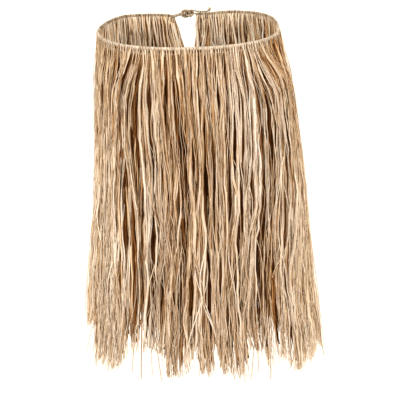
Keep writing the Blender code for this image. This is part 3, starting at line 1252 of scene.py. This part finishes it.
@dataclass(frozen=True)
class Combing:
    """How the strands make way for the partings.

    Attributes:
        partings: the dark gaps between the outer strands.
        starting: how far out the grass hangs from which on it makes way.
        whole: how far out the grass hangs that makes way fully.
        before: how far over and under a parting strands still make way.
        easing: the length over which they start and stop.
        reach: how far to each side of it they do.
        cleared: how far they move aside, as a share of the parting's width.
        clearance: how much further than that they move.
    """

    partings: tuple[Parting, ...] = rows(
        Parting,
        (0.370, 0.520, 0.434, 0.434, 0.0054), (0.220, 0.380, 0.561, 0.559, 0.0175),
        (0.230, 0.400, 0.299, 0.316, 0.0130), (0.030, 0.180, 0.516, 0.520, 0.0060),
        (0.160, 0.350, 0.416, 0.426, 0.0032), (0.120, 0.240, 0.373, 0.390, 0.0068),
        (0.190, 0.270, 0.542, 0.545, 0.0060), (0.120, 0.320, 0.426, 0.440, 0.0056),
        (0.030, 0.170, 0.534, 0.542, 0.0040), (0.230, 0.390, 0.376, 0.386, 0.0028),
        (0.090, 0.220, 0.356, 0.377, 0.0048), (0.070, 0.160, 0.474, 0.474, 0.0046),
        (0.170, 0.250, 0.450, 0.452, 0.0044), (0.300, 0.390, 0.319, 0.325, 0.0060),
        (0.420, 0.525, 0.327, 0.334, 0.0078), (0.400, 0.510, 0.548, 0.544, 0.0033),
        (0.330, 0.425, 0.387, 0.392, 0.0050), (0.045, 0.135, 0.587, 0.589, 0.0085),
        (0.050, 0.110, 0.398, 0.404, 0.0052), (0.025, 0.100, 0.346, 0.354, 0.0054),
        (0.200, 0.280, 0.512, 0.516, 0.0056), (0.090, 0.150, 0.488, 0.490, 0.0033),
        (0.240, 0.305, 0.477, 0.476, 0.0052), (0.430, 0.500, 0.460, 0.458, 0.0050),
        (0.230, 0.280, 0.498, 0.504, 0.0052), (0.400, 0.450, 0.570, 0.568, 0.0037),
        (0.270, 0.320, 0.394, 0.400, 0.0040), (0.080, 0.120, 0.364, 0.370, 0.0046),
        (0.430, 0.570, 0.543, 0.544, 0.0056), (0.415, 0.545, 0.501, 0.501, 0.0058),
        (0.430, 0.560, 0.461, 0.460, 0.0052), (0.440, 0.570, 0.434, 0.432, 0.0052),
        (0.470, 0.580, 0.373, 0.373, 0.0040), (0.440, 0.600, 0.338, 0.337, 0.0070),
        (0.410, 0.475, 0.438, 0.439, 0.0036), (0.085, 0.120, 0.345, 0.348, 0.0048),
        (0.365, 0.460, 0.359, 0.363, 0.0064), (0.400, 0.470, 0.394, 0.396, 0.0050),
        (0.415, 0.480, 0.301, 0.306, 0.0080), (0.260, 0.320, 0.358, 0.362, 0.0050),
        (0.280, 0.500, 0.549, 0.546, 0.0095), (0.335, 0.415, 0.515, 0.515, 0.0075),
        (0.462, 0.504, 0.521, 0.521, 0.0050), (0.403, 0.463, 0.415, 0.417, 0.0050),
        (0.072, 0.144, 0.432, 0.437, 0.0046),
    )
    starting: float = 0.002
    whole: float = 0.0062
    before: float = 0.045
    easing: float = 0.075
    reach: float = 0.020
    cleared: float = 0.42
    clearance: float = 0.0012

    def parted(self, station: np.ndarray, drop: np.ndarray, hung: float) -> np.ndarray:
        """Moves strands to one side or the other of each parting.

        Args:
            station: where the strands hang, by strand and ring.
            drop: how far down that is.
            hung: how far out the layer hangs.

        Returns:
            The stations, which keep clear of the partings.
        """
        if hung <= self.starting:
            return station
        strength = np.clip(hung / self.whole, 0.0, 1.0)
        for gap in self.partings:
            centre = gap.top_station + (gap.foot_station - gap.top_station) * (
                drop - gap.top
            ) / (gap.foot - gap.top)
            begun = smooth_step((drop - gap.top + self.before) / self.easing)
            ended = smooth_step((gap.foot + self.before - drop) / self.easing)
            held = begun * ended
            clear = strength * (gap.width * self.cleared + self.clearance)
            away = station - centre
            near = (np.abs(away) < self.reach) & (held > 0.0)
            weight = np.where(near, held, 0.0)
            total = weight.sum(axis=1)
            lean = (away * weight).sum(axis=1) / np.maximum(total, 1e-6)
            side = np.where(lean >= 0.0, 1.0, -1.0)[:, None]
            inside = side * away
            pushed = (inside + np.sqrt(inside**2 + 4.0 * clear**2)) / 2.0
            station = station + side * weight * (pushed - inside)
        return station


@dataclass
class Fringe:
    """All the hanging grass of the skirt.

    Attributes:
        combing: how the strands make way for the partings.
        breadth: how wide the strips are.
        shading: how pale and golden they are.
        fans: where the grass swings over to one side.
        fanned: the drop by which the swing is full.
        relaxed: the share of that swing which the grass has lost again near the hem.
        relaxing: the drop at which it starts to lose it, and the length over which it does.
        upright: how far the grass in front moves to the middle as the skirt widens.
        righting: the drop at which that starts, and the length over which it does.
        turned: how far the strips at the sides have turned to the front.
        wander: how far a lock strays sideways near the hem.
        lean: how far a lock leans to one side by the hem.
        broad: how unlike in width the locks are.
        tight: how unlike they are in how closely they are drawn together, and how closely at most.
        gathering: the drop by which a lock is drawn together.
        loosening: the drop at which it starts to come apart, and the length over which it does.
        loose: how far it has come apart by the hem, as a share.
        scatter: how far a strand's root strays along the waist.
        restless: how far a strand strays from its lock even at the waist.
        jitter: how far each ring of it strays by itself.
        loosened: the drop by which it strays and twists fully.
        settled: the drop by which it has come out to where it hangs.
        ripple: how far it goes in and out near the hem.
        folded: how high a strip's middle stands, as a share of half its width: least and most.
        gathered: how closely its rings stand near its root, as a power.
        shortest: how short a strand may be.
        longest: how long it may be.
        knees: the drops at which locks and strands change their way.
        seed: where the chance lie of the grass starts from.
    """

    combing: Combing = Combing()
    breadth: Breadth = Breadth()
    shading: Shading = Shading()
    fans: tuple[Fan, ...] = rows(
        Fan,
        (0.240, 0.000), (0.280, -0.010), (0.310, -0.024), (0.345, -0.040), (0.365, -0.028),
        (0.385, -0.010), (0.405, 0.000), (0.570, 0.000), (0.585, 0.004), (0.592, 0.008),
        (0.600, 0.024), (0.615, 0.024), (0.640, 0.014), (0.665, 0.006), (0.690, 0.000),
    )
    fanned: float = 0.11
    relaxed: float = 0.55
    relaxing: tuple[float, float] = (0.12, 0.40)
    upright: float = 0.026
    righting: tuple[float, float] = (0.05, 0.45)
    turned: float = 0.70
    wander: float = 0.0032
    lean: float = 0.0055
    broad: float = 0.45
    tight: tuple[float, float] = (0.20, 0.85)
    gathering: float = 0.04
    loosening: tuple[float, float] = (0.44, 0.16)
    loose: float = 0.5
    scatter: float = 0.0005
    restless: float = 0.0003
    jitter: float = 0.0010
    loosened: float = 0.05
    settled: float = 0.10
    ripple: float = 0.0027
    folded: tuple[float, float] = (0.10, 0.50)
    gathered: float = 1.12
    shortest: float = 0.2
    longest: float = 0.660
    knees: tuple[float, ...] = (
        0.0, 0.025, 0.06, 0.10, 0.145, 0.19, 0.24, 0.29, 0.34, 0.40, 0.46, 0.52, 0.58, 0.66,
    )
    seed: int = 21

    def lengths(self, batch: Batch, station: np.ndarray) -> np.ndarray:
        """How long the strands are, of which some end early.

        Args:
            batch: their batch.
            station: where each of them hangs.

        Returns:
            A length for each strand.
        """
        share = np.mod(station, FORM.girth) / FORM.girth
        ended = batch.chance.random(len(share)) < FORM.read(FORM.hem, "share", "thin", share)
        early = np.where(ended, FORM.early * batch.chance.random(len(share)), 0.0)
        hem = FORM.read(FORM.hem, "share", "length", share) - early - batch.layer.short
        hem = hem + 0.35 * batch.layer.ragged * batch.value
        length = hem - batch.layer.ragged * np.abs(batch.chance.standard_normal(len(share)))
        return np.clip(length, self.shortest, self.longest)

    def drift(self, count: int, hold: float, chance: np.random.Generator) -> np.ndarray:
        """Chance ways sideways, each of which keeps some of the one above it.

        Args:
            count: how many rows of them.
            hold: the share that each keeps.
            chance: where the chance lie of the grass comes from.

        Returns:
            A row for each strand or lock, with a value for each knee.
        """
        ways = chance.standard_normal((count, len(self.knees)))
        for knee in range(1, len(self.knees)):
            ways[:, knee] = hold * ways[:, knee - 1] + math.sqrt(1.0 - hold**2) * ways[:, knee]
        return ways

    def locks(self, width: float, drawn: float, seed: int) -> Locks:
        """Shares the waist out into locks.

        Args:
            width: a lock's usual width at the waist.
            drawn: how closely its strands are drawn together, as a share.
            seed: where its chance lie starts from.

        Returns:
            The locks.
        """
        chance = np.random.default_rng(seed)
        edges = [FORM.right_edge]
        while edges[-1] < FORM.left_edge:
            edges.append(edges[-1] + width * math.exp(self.broad * chance.standard_normal()))
        count = len(edges) - 1
        ways = self.wander * self.drift(count, 0.75, chance) * self.free(0.75)
        ways += self.lean * np.clip(chance.standard_t(3.0, (count, 1)), -2.5, 2.5) * self.free(1.0)
        knees = np.array(self.knees)
        unlike, most = self.tight
        close = np.clip(drawn + unlike * self.drift(count, 0.55, chance), 0.0, most)
        close *= np.clip(knees / self.gathering, 0.0, 1.0)
        begin, length = self.loosening
        close *= 1.0 - self.loose * smooth_step((knees - begin) / length)
        return Locks(np.array(edges), ways, close, chance.standard_normal(count))

    def swung(self, drop: np.ndarray) -> np.ndarray:
        """The share of its swing to one side that the grass has at each drop."""
        begin, length = self.relaxing
        lost = self.relaxed * smooth_step((drop - begin) / length)
        return smooth_step(drop / self.fanned) - lost

    def plumbed(self, station: np.ndarray, drop: np.ndarray) -> np.ndarray:
        """How far the grass in front of the +X side moves to the middle, to hang upright."""
        aside = station / FORM.girth - 0.5
        part = np.where(np.abs(aside + 0.125) < 0.125, np.sin(4.0 * math.pi * aside), 0.0)
        begin, length = self.righting
        return -self.upright * part * smooth_step((drop - begin) / length)

    def free(self, power: float) -> np.ndarray:
        """How freely the grass strays at each knee, from 0 at the waist to 1 at the lowest."""
        knees = np.array(self.knees)
        return (knees / knees[-1]) ** power

    def ways(self, batch: Batch, locks: Locks, which: np.ndarray) -> np.ndarray:
        """The way of each strand down the skirt, before the grass swings.

        Args:
            batch: the strands' batch.
            locks: the locks that they are drawn together in.
            which: the number of each strand's lock.

        Returns:
            A row of stations for each strand, one for each knee.
        """
        layer, start, chance = batch.layer, batch.start[:, None], batch.chance
        middle = (locks.edges[which] + locks.edges[which + 1])[:, None] / 2.0
        pull = locks.drawn[which] * (middle - start) + locks.ways[which]
        stray = layer.own * np.exp(0.5 * chance.standard_normal(batch.each))
        own = self.drift(len(start), 0.60, chance) * (self.restless + stray * self.free(0.5))
        leaning = np.clip(chance.standard_t(3.0, batch.each), -3.0, 3.0)
        own = own + layer.slant * leaning * self.free(1.0)
        return start + layer.bound * pull + own

    def stations(
        self, batch: Batch, ways: np.ndarray, fan: np.ndarray, drop: np.ndarray
    ) -> np.ndarray:
        """Where along the waist the strands hang.

        Args:
            batch: their batch.
            ways: their way down the skirt, by strand and knee.
            fan: how far each swings over.
            drop: how far down their rings are.

        Returns:
            The stations, by strand and ring.
        """
        station = smooth_read(np.array(self.knees), ways, drop) + fan * self.swung(drop)
        station = station + self.plumbed(station, drop)
        jitter = self.jitter * batch.chance.standard_normal(drop.shape)
        station = station + jitter * smooth_step(drop / self.loosened)
        return FORM.leaned(self.combing.parted(station, drop, batch.layer.hung), drop)

    def depths(self, batch: Batch, drop: np.ndarray) -> np.ndarray:
        """How far out the strands hang, by strand and ring."""
        layer, count = batch.layer, len(batch.value)
        unlike = 0.8 * batch.value + 0.8 * batch.chance.standard_normal(count)
        depth = (layer.hung + layer.spread * unlike)[:, None]
        hanging = layer.root + smooth_step(drop / self.settled) * (depth - layer.root)
        ripple = self.drift(count, 0.4, batch.chance) * self.ripple * self.free(0.3)
        return hanging + smooth_read(np.array(self.knees), ripple, drop)

    def twists(self, batch: Batch, drop: np.ndarray) -> np.ndarray:
        """How far the strips turn about their line, by strip and ring, in radians."""
        turns = 0.50 * self.drift(len(batch.start), 0.55, batch.chance)
        turns = turns + 0.3 * batch.chance.standard_normal(batch.each)
        inside_out = -1.0 if batch.layer.hung < -0.001 else 1.0
        round_waist = 2.0 * math.pi * batch.start / FORM.girth
        turns += inside_out * self.turned * np.sin(round_waist)[:, None]
        return smooth_read(np.array(self.knees), turns, drop) * smooth_step(drop / self.loosened)

    def strands(self, layer: Layer, roots: np.ndarray, locks: Locks, number: int) -> Strip:
        """Works out every strand of a layer.

        Args:
            layer: the layer.
            roots: the stations that its strands leave from.
            locks: the locks that they are drawn together in.
            number: the layer's number, which sets its chance lie.

        Returns:
            The strips, from their roots to their tips.
        """
        chance = np.random.default_rng(self.seed + number)
        start = roots + self.scatter * chance.standard_normal(len(roots))
        start = np.clip(start, FORM.right_edge, FORM.left_edge)
        which = np.clip(np.searchsorted(locks.edges, start) - 1, 0, len(locks.values) - 1)
        batch = Batch(layer, start, locks.values[which], chance)
        ways = self.ways(batch, locks, which)
        fan = FORM.read(self.fans, "share", "way", batch.share)[:, None]
        foot = ways[:, -2:-1] + fan * (1.0 - self.relaxed)
        foot = (foot + self.plumbed(foot, np.array(self.knees[-1])))[:, 0]
        length = self.lengths(batch, foot)[:, None]
        share = np.linspace(0.0, 1.0, layer.rings) ** self.gathered
        drop = layer.top + (length - layer.top) * share
        station = self.stations(batch, ways, fan, drop)
        out = self.depths(batch, drop)
        line, away = FORM.place(station, drop, out, np.zeros_like(drop))
        width = self.breadth.widths(batch, share, drop)
        fold = chance.uniform(*self.folded, batch.each)
        fold = fold * chance.choice((-1.0, 1.0), batch.each, p=(0.3, 0.7))
        twist = self.twists(batch, drop)
        tint, warm = self.shading.shades(batch, station, drop, out)
        return Strip(layer.blade, line, away, width, fold * width * 0.5, twist, tint, warm)


@dataclass(frozen=True)
class LooseStrand:
    """A strand that lies by itself over the others.

    Attributes:
        bends: the points that it passes.
        width: how wide it is.
        tint: how pale it is.
        warm: how golden it is.
    """

    bends: tuple[Bend, ...]
    width: float = 0.0022
    tint: float = 1.0
    warm: float = 0.05


def slope(top: float, foot: float, start: float, end: float, out: float) -> tuple[Bend, ...]:
    """The bends of a strand that comes out from among the others and runs on straight.

    Args:
        top: the share of the way round that it comes out at.
        foot: the share that it ends at.
        start: the drop that it comes out at.
        end: the drop that it ends at.
        out: how far out it hangs.

    Returns:
        Its bends.
    """
    return rows(
        Bend,
        (top, start - 0.06, out * 0.2), (top, start, out * 0.9),
        ((top + foot) / 2.0, (start + end) / 2.0, out), (foot, end, out),
    )


@dataclass
class LooseStrands:
    """The strands that lie by themselves, on the face of the skirt and inside its back.

    Attributes:
        face: those outside.
        hooked: the one inside the back whose top is bent over.
        edge: the broad ones along the slit's left edge.
        rings: how many rings each has.
        uneven: how uneven in width each is.
        crown: how high its middle stands, as a share of its width.
        turned: how far it turns about its line, in radians.
        tips: how much narrower its last rings are, as shares.
    """

    face: tuple[LooseStrand, ...] = (
        LooseStrand(
            rows(
                Bend,
                (0.4931, 0.300, 0.002), (0.4931, 0.362, 0.0080), (0.5044, 0.437, 0.0088),
                (0.5000, 0.483, 0.0090), (0.4851, 0.533, 0.0088), (0.4800, 0.560, 0.0080),
            ),
            0.0028,
        ),
        LooseStrand(
            rows(
                Bend,
                (0.4930, 0.380, 0.002), (0.4930, 0.442, 0.0084), (0.5032, 0.482, 0.0096),
                (0.5236, 0.561, 0.0092), (0.5280, 0.590, 0.0085),
            ),
            0.0022,
        ),
        LooseStrand(
            rows(
                Bend,
                (0.5660, 0.240, 0.002), (0.5681, 0.306, 0.0078), (0.5710, 0.365, 0.0086),
                (0.5904, 0.463, 0.0088), (0.5940, 0.500, 0.0080),
            ),
            0.0022,
            warm=0.7,
        ),
        LooseStrand(slope(0.6837, 0.6993, 0.540, 0.622, 0.019), 0.0020, 0.60),
        LooseStrand(slope(0.6854, 0.6773, 0.540, 0.639, 0.012), 0.0019, 0.40),
        LooseStrand(slope(0.2985, 0.2961, 0.560, 0.644, 0.017), 0.0020, 0.50),
        LooseStrand(slope(0.6968, 0.6839, 0.480, 0.646, 0.008), 0.0020, 0.42),
        LooseStrand(slope(0.6006, 0.5996, 0.530, 0.648, 0.004), 0.0019, 0.40),
        LooseStrand(slope(0.5792, 0.5666, 0.540, 0.650, 0.004), 0.0015, 0.60),
        LooseStrand(slope(0.5858, 0.5819, 0.530, 0.641, 0.003), 0.0015, 0.66),
        LooseStrand(slope(0.6120, 0.6150, 0.520, 0.640, 0.003), 0.0014, 0.55),
        LooseStrand(slope(0.4164, 0.4305, 0.540, 0.652, 0.004), 0.0015, 0.60),
        LooseStrand(slope(0.3959, 0.3992, 0.540, 0.628, 0.006), 0.0034, 0.80),
        LooseStrand(slope(0.3942, 0.3986, 0.560, 0.656, 0.004), 0.0017, 0.40),
        LooseStrand(slope(0.4139, 0.4176, 0.540, 0.637, 0.004), 0.0014, 0.55),
        LooseStrand(slope(0.5110, 0.4816, 0.430, 0.540, 0.0084), 0.0020),
        LooseStrand(slope(0.3400, 0.3520, 0.330, 0.470, 0.0088), 0.0020),
        LooseStrand(slope(0.4560, 0.4410, 0.400, 0.520, 0.0086), 0.0018),
        LooseStrand(slope(0.6400, 0.6270, 0.360, 0.500, 0.0088), 0.0018),
    )
    hooked: LooseStrand = LooseStrand(
        rows(
            Bend,
            (0.8874, 0.0310, -0.0128), (0.8866, 0.0235, -0.0136), (0.8848, 0.0190, -0.0142),
            (0.8812, 0.0175, -0.0142), (0.8783, 0.0201, -0.0140), (0.8774, 0.0259, -0.0138),
            (0.8781, 0.0396, -0.0132), (0.8788, 0.0600, -0.0126), (0.8790, 0.1000, -0.0115),
            (0.8790, 0.3000, -0.0090), (0.8790, 0.5000, -0.0070),
        ),
        0.0034,
    )
    edge: tuple[LooseStrand, ...] = (
        LooseStrand(
            rows(
                Bend,
                (0.9655, 0.012, -0.0060), (0.9700, 0.030, -0.0095), (0.9762, 0.060, -0.0095),
                (0.9860, 0.120, -0.0080), (0.9880, 0.400, -0.0060),
            ),
            0.0052,
            0.90,
        ),
        LooseStrand(
            rows(
                Bend,
                (0.9620, 0.010, -0.0060), (0.9650, 0.030, -0.0090), (0.9705, 0.060, -0.0092),
                (0.9800, 0.120, -0.0080), (0.9820, 0.380, -0.0060),
            ),
            0.0030,
            0.95,
            0.6,
        ),
    )
    rings: int = 40
    uneven: float = 0.08
    crown: float = 0.15
    turned: float = 0.35
    tips: tuple[float, ...] = (0.9, 0.7, 0.4)

    def build(self, outer: Finish, inner: Finish) -> None:
        """Makes the loose strands, outside and inside.

        Args:
            outer: the finish of the outer grass.
            inner: the finish of the inner grass.
        """
        dressed(self.strips(self.face).piece("loose_strands"), outer, "outer_fringe")
        inside = (self.hooked, *self.edge)
        dressed(self.strips(inside).piece("loose_strands_inside"), inner, "inner_layer")

    def strips(self, strands: tuple[LooseStrand, ...]) -> Strip:
        """Works out some loose strands, each along a smooth curve through its bends."""
        routes = []
        for strand in strands:
            bends = np.array(strand.bends) * (FORM.girth, 1.0, 1.0)
            steps = np.hypot(np.diff(bends[:, 0]), np.diff(bends[:, 1]))
            along = np.concatenate([[0.0], np.cumsum(steps)])
            at = np.linspace(0.0, along[-1], self.rings)[None]
            routes.append([smooth_read(along, column[None], at)[0] for column in bends.T])
        station, drop, out = np.moveaxis(np.array(routes), 1, 0)
        line, away = FORM.place(station, drop, out, np.zeros_like(drop))
        chance = np.random.default_rng(4)
        width = np.array([[strand.width] for strand in strands]) + np.zeros_like(drop)
        width = width * (1.0 + self.uneven * chance.standard_normal(width.shape))
        width[:, -len(self.tips):] *= self.tips
        tint = np.array([[strand.tint] for strand in strands]) + np.zeros_like(drop)
        return Strip(
            Blade.CUPPED,
            line,
            away,
            width,
            self.crown * width,
            self.turned * chance.standard_normal((len(strands), 1)) + np.zeros_like(drop),
            tint,
            np.array([strand.warm for strand in strands]),
        )


@dataclass
class Grass:
    """The layers of grass, from the inside of the skirt to its face, and how they are cut up.

    Attributes:
        heading: the row of loops that the strands leave from.
        fringe: the rules that the strands follow.
        inner: the layers of the inner grass, from the outside in.
        outer: the layers of the outer grass, mostly from the inside out.
        inner_locks: a lock's usual width inside, how closely it is drawn together, and its seed.
        outer_locks: the same outside.
        quarters: the shares of the way round at which the right, front, left and back start.
    """

    heading: Heading
    fringe: Fringe = field(default_factory=Fringe)
    # painted shade: the inner layer next to the middle is dark and the next one golden, for the
    # shade between strands
    inner: tuple[Layer, ...] = (
        Layer(
            2, Blade.FOLDED, 0.0, -0.0020, 0.0058, 0.22, 16,
            top=0.0002, root_width=0.95, short=0.045, ragged=0.03, bound=0.2,
        ),
        Layer(
            2.4, Blade.FOLDED, -0.0010, -0.0044, 0.0032, 0.60, 18,
            own=0.0050, short=0.05, ragged=0.03, bound=0.6, gold=0.25,
        ),
        Layer(
            2.6, Blade.CUPPED, -0.0014, -0.0060, 0.0026, 0.96, 18,
            own=0.0065, short=0.045, ragged=0.03, varied=0.45,
        ),
        Layer(
            1.4, Blade.CUPPED, -0.0028, -0.0074, 0.0031, 1.0, 22,
            own=0.0085, top=0.002, root_width=0.6, short=0.045, ragged=0.03, varied=0.45,
        ),
    )
    # painted shade: the deepest outer layers are dark, so that the gaps between the pale outer
    # strands read as shade
    outer: tuple[Layer, ...] = (
        Layer(
            2, Blade.FOLDED, 0.0010, -0.0002, 0.0050, 0.04, 18,
            short=0.022, ragged=0.016, bound=0.2,
        ),
        Layer(
            1.6, Blade.FOLDED, 0.0012, 0.0018, 0.0030, 0.22, 20,
            short=0.010, bound=0.5,
        ),
        Layer(
            1.6, Blade.FOLDED, 0.0014, 0.0034, 0.0027, 0.86, 24,
            own=0.0028, slant=0.006, short=0.002, ragged=0.011, varied=0.5,
        ),
        Layer(
            1.6, Blade.CUPPED, 0.0016, 0.0050, 0.0027, 0.96, 28,
            own=0.0028, slant=0.006, ragged=0.006, varied=0.5, gold=0.0,
        ),
        Layer(
            0.9, Blade.CUPPED, 0.0029, 0.0062, 0.0036, 0.98, 32,
            own=0.0026, slant=0.006, top=0.002, root_width=0.45, short=-0.001, ragged=0.005,
            varied=0.55, gold=0.0,
        ),
        Layer(
            1.6, Blade.FIBRE, 0.0026, 0.0070, 0.0012, 0.98, 26,
            own=0.005, slant=0.010, short=-0.002, ragged=0.010, bound=0.8, gold=0.0,
        ),
        Layer(
            1.5, Blade.FIBRE, -0.0010, 0.0056, 0.0016, 0.90, 16,
            own=0.006, slant=0.012, short=-0.002, ragged=0.009, top=0.28,
        ),
        Layer(
            0.7, Blade.FIBRE, 0.0010, 0.0092, 0.0016, 1.0, 24,
            own=0.006, slant=0.010, ragged=0.030, spread=0.0032,
        ),
    )
    inner_locks: tuple[float, float, int] = (0.010, 0.28, 5)
    outer_locks: tuple[float, float, int] = (0.011, 0.56, 6)
    quarters: tuple[float, float, float, float] = (0.19, 0.34, 0.66, 0.81)

    def build(self, outer: Finish, inner: Finish) -> None:
        """Makes the inner and the outer grass, in pieces by side and layer.

        Args:
            outer: the finish of the outer grass.
            inner: the finish of the inner grass.
        """
        behind = self.fringe.locks(*self.inner_locks)
        for number, layer in enumerate(self.inner):
            roots = self.heading.roots(layer.each)
            strip = self.fringe.strands(layer, roots, behind, number)
            dressed(strip.piece(f"inner_grass_{number + 1}"), inner, "inner_layer")
        before = self.fringe.locks(*self.outer_locks)
        for number, layer in enumerate(self.outer):
            roots = self.heading.roots(layer.each)
            for side in Side:
                chosen = roots[self._on(side, roots)]
                turn = 10 + 10 * number + list(Side).index(side)
                strip = self.fringe.strands(layer, chosen, before, turn)
                name = f"outer_grass_{side.value}_{number + 1}"
                dressed(strip.piece(name), outer, "outer_fringe")

    def _on(self, side: Side, stations: np.ndarray) -> np.ndarray:
        """Which of some stations lie on one side of the waist."""
        share = stations / FORM.girth
        right, front, left, back = self.quarters
        sides = {
            Side.RIGHT: (share >= right) & (share < front),
            Side.FRONT: (share >= front) & (share < left),
            Side.LEFT: (share >= left) & (share < back),
            Side.BACK: (share < right) | (share >= back),
        }
        return sides[side]


class Lamp(NamedTuple):
    """A broad soft light: its name, the way that it shines and its strength."""

    name: str
    towards: tuple[float, float, float]
    strength: float


@dataclass
class Studio:
    """The pale floor, the soft lights and the camera.

    Attributes:
        floor_drop: how far under the waist the floor is.
        floor_size: how wide the floor is.
        floor_colour: what colour it is.
        floor_roughness: how dull it is.
        sky: the strength of the light all round.
        sky_colour: the colour of that light.
        lamps: the soft lights.
        softness: how wide each lamp is, as an angle.
        daylight: the lamps' colour.
        eye: where the camera stands.
        yaw: how far the camera is turned to +X from looking along +Y.
        pitch: how far it looks down.
        roll: how far it leans.
        lens: its focal length, in millimetres.
        frame_width: how wide its frame is, in millimetres.
        sight: how far it sees.
    """

    floor_drop: float = 1.30
    floor_size: float = 60.0
    floor_colour: tuple[float, float, float] = (0.94, 0.835, 0.71)
    floor_roughness: float = 0.9
    sky: float = 0.28
    sky_colour: tuple[float, float, float] = (1.0, 0.855, 0.665)
    lamps: tuple[Lamp, ...] = rows(
        Lamp,
        ("key_light", (0.90, 0.55, -0.50), 3.70), ("fill_light", (-0.92, 0.52, -0.45), 3.50),
        ("back_light", (0.25, -0.80, -0.65), 1.75),
    )
    softness: float = 0.22
    daylight: tuple[float, float, float] = (0.918, 0.970, 1.015)
    eye: tuple[float, float, float] = (-0.0086, -2.8787, 0.8446)
    yaw: float = 0.0071
    pitch: float = 0.3878
    roll: float = -0.0246
    lens: float = 147.9
    frame_width: float = 36.0
    sight: float = 100.0

    def build(self) -> None:
        """Makes the floor, the lights and the camera."""
        self.make_floor()
        self.make_lights()
        self.make_camera()

    def make_floor(self) -> None:
        """A plain pale floor under the skirt."""
        made = bmesh.new()
        bmesh.ops.create_grid(made, x_segments=1, y_segments=1, size=self.floor_size / 2.0)
        bmesh.ops.translate(made, verts=made.verts, vec=(0.0, 0.0, -self.floor_drop))
        mesh = bpy.data.meshes.new("floor")
        made.to_mesh(mesh)
        made.free()
        material = bpy.data.materials.new("pale_floor")
        material.use_nodes = True
        shader = material.node_tree.nodes["Principled BSDF"]
        shader.inputs["Base Color"].default_value = (*self.floor_colour, 1.0)
        shader.inputs["Roughness"].default_value = self.floor_roughness
        mesh.materials.append(material)
        floor = bpy.data.objects.new("floor", mesh)
        bpy.context.scene.collection.objects.link(floor)

    def make_lights(self) -> None:
        """Warm soft light all round, and broad soft lights from the front and above."""
        scene = bpy.context.scene
        world = bpy.data.worlds.new("studio")
        world.use_nodes = True
        sky = world.node_tree.nodes["Background"]
        sky.inputs["Color"].default_value = (*self.sky_colour, 1.0)
        sky.inputs["Strength"].default_value = self.sky
        scene.world = world
        scene.view_settings.view_transform = "Standard"
        for lamp in self.lamps:
            light = bpy.data.lights.new(lamp.name, "SUN")
            light.angle = self.softness
            light.energy = lamp.strength
            light.color = self.daylight
            item = bpy.data.objects.new(lamp.name, light)
            item.rotation_euler = Vector(lamp.towards).to_track_quat("-Z", "Y").to_euler()
            bpy.context.scene.collection.objects.link(item)

    def make_camera(self) -> None:
        """A camera at the viewing angle."""
        camera = bpy.data.cameras.new("camera")
        camera.sensor_width = self.frame_width
        camera.lens = self.lens
        camera.clip_end = self.sight
        item = bpy.data.objects.new("camera", camera)
        bpy.context.scene.collection.objects.link(item)
        ahead = Vector(
            (
                math.sin(self.yaw) * math.cos(self.pitch),
                math.cos(self.yaw) * math.cos(self.pitch),
                -math.sin(self.pitch),
            )
        )
        right = Vector((math.cos(self.yaw), -math.sin(self.yaw), 0.0))
        up = right.cross(ahead)
        leaned_right = math.cos(self.roll) * right + math.sin(self.roll) * up
        leaned_up = math.cos(self.roll) * up - math.sin(self.roll) * right
        turned = Matrix((leaned_right, leaned_up, -ahead)).transposed()
        item.matrix_world = Matrix.Translation(self.eye) @ turned.to_4x4()
        bpy.context.scene.camera = item


def main() -> None:
    """Builds the skirt from the waist down, then the studio round it."""
    raffia, bleached = RAFFIA.made(), BLEACHED.made()
    shaded, twine = SHADED.made(), TWINE.made()
    WaistTie().build(twine)
    heading = Heading()
    heading.build(bleached)
    Grass(heading).build(raffia, shaded)
    LooseStrands().build(raffia, shaded)
    Studio().build()


if __name__ == "__main__":
    main()
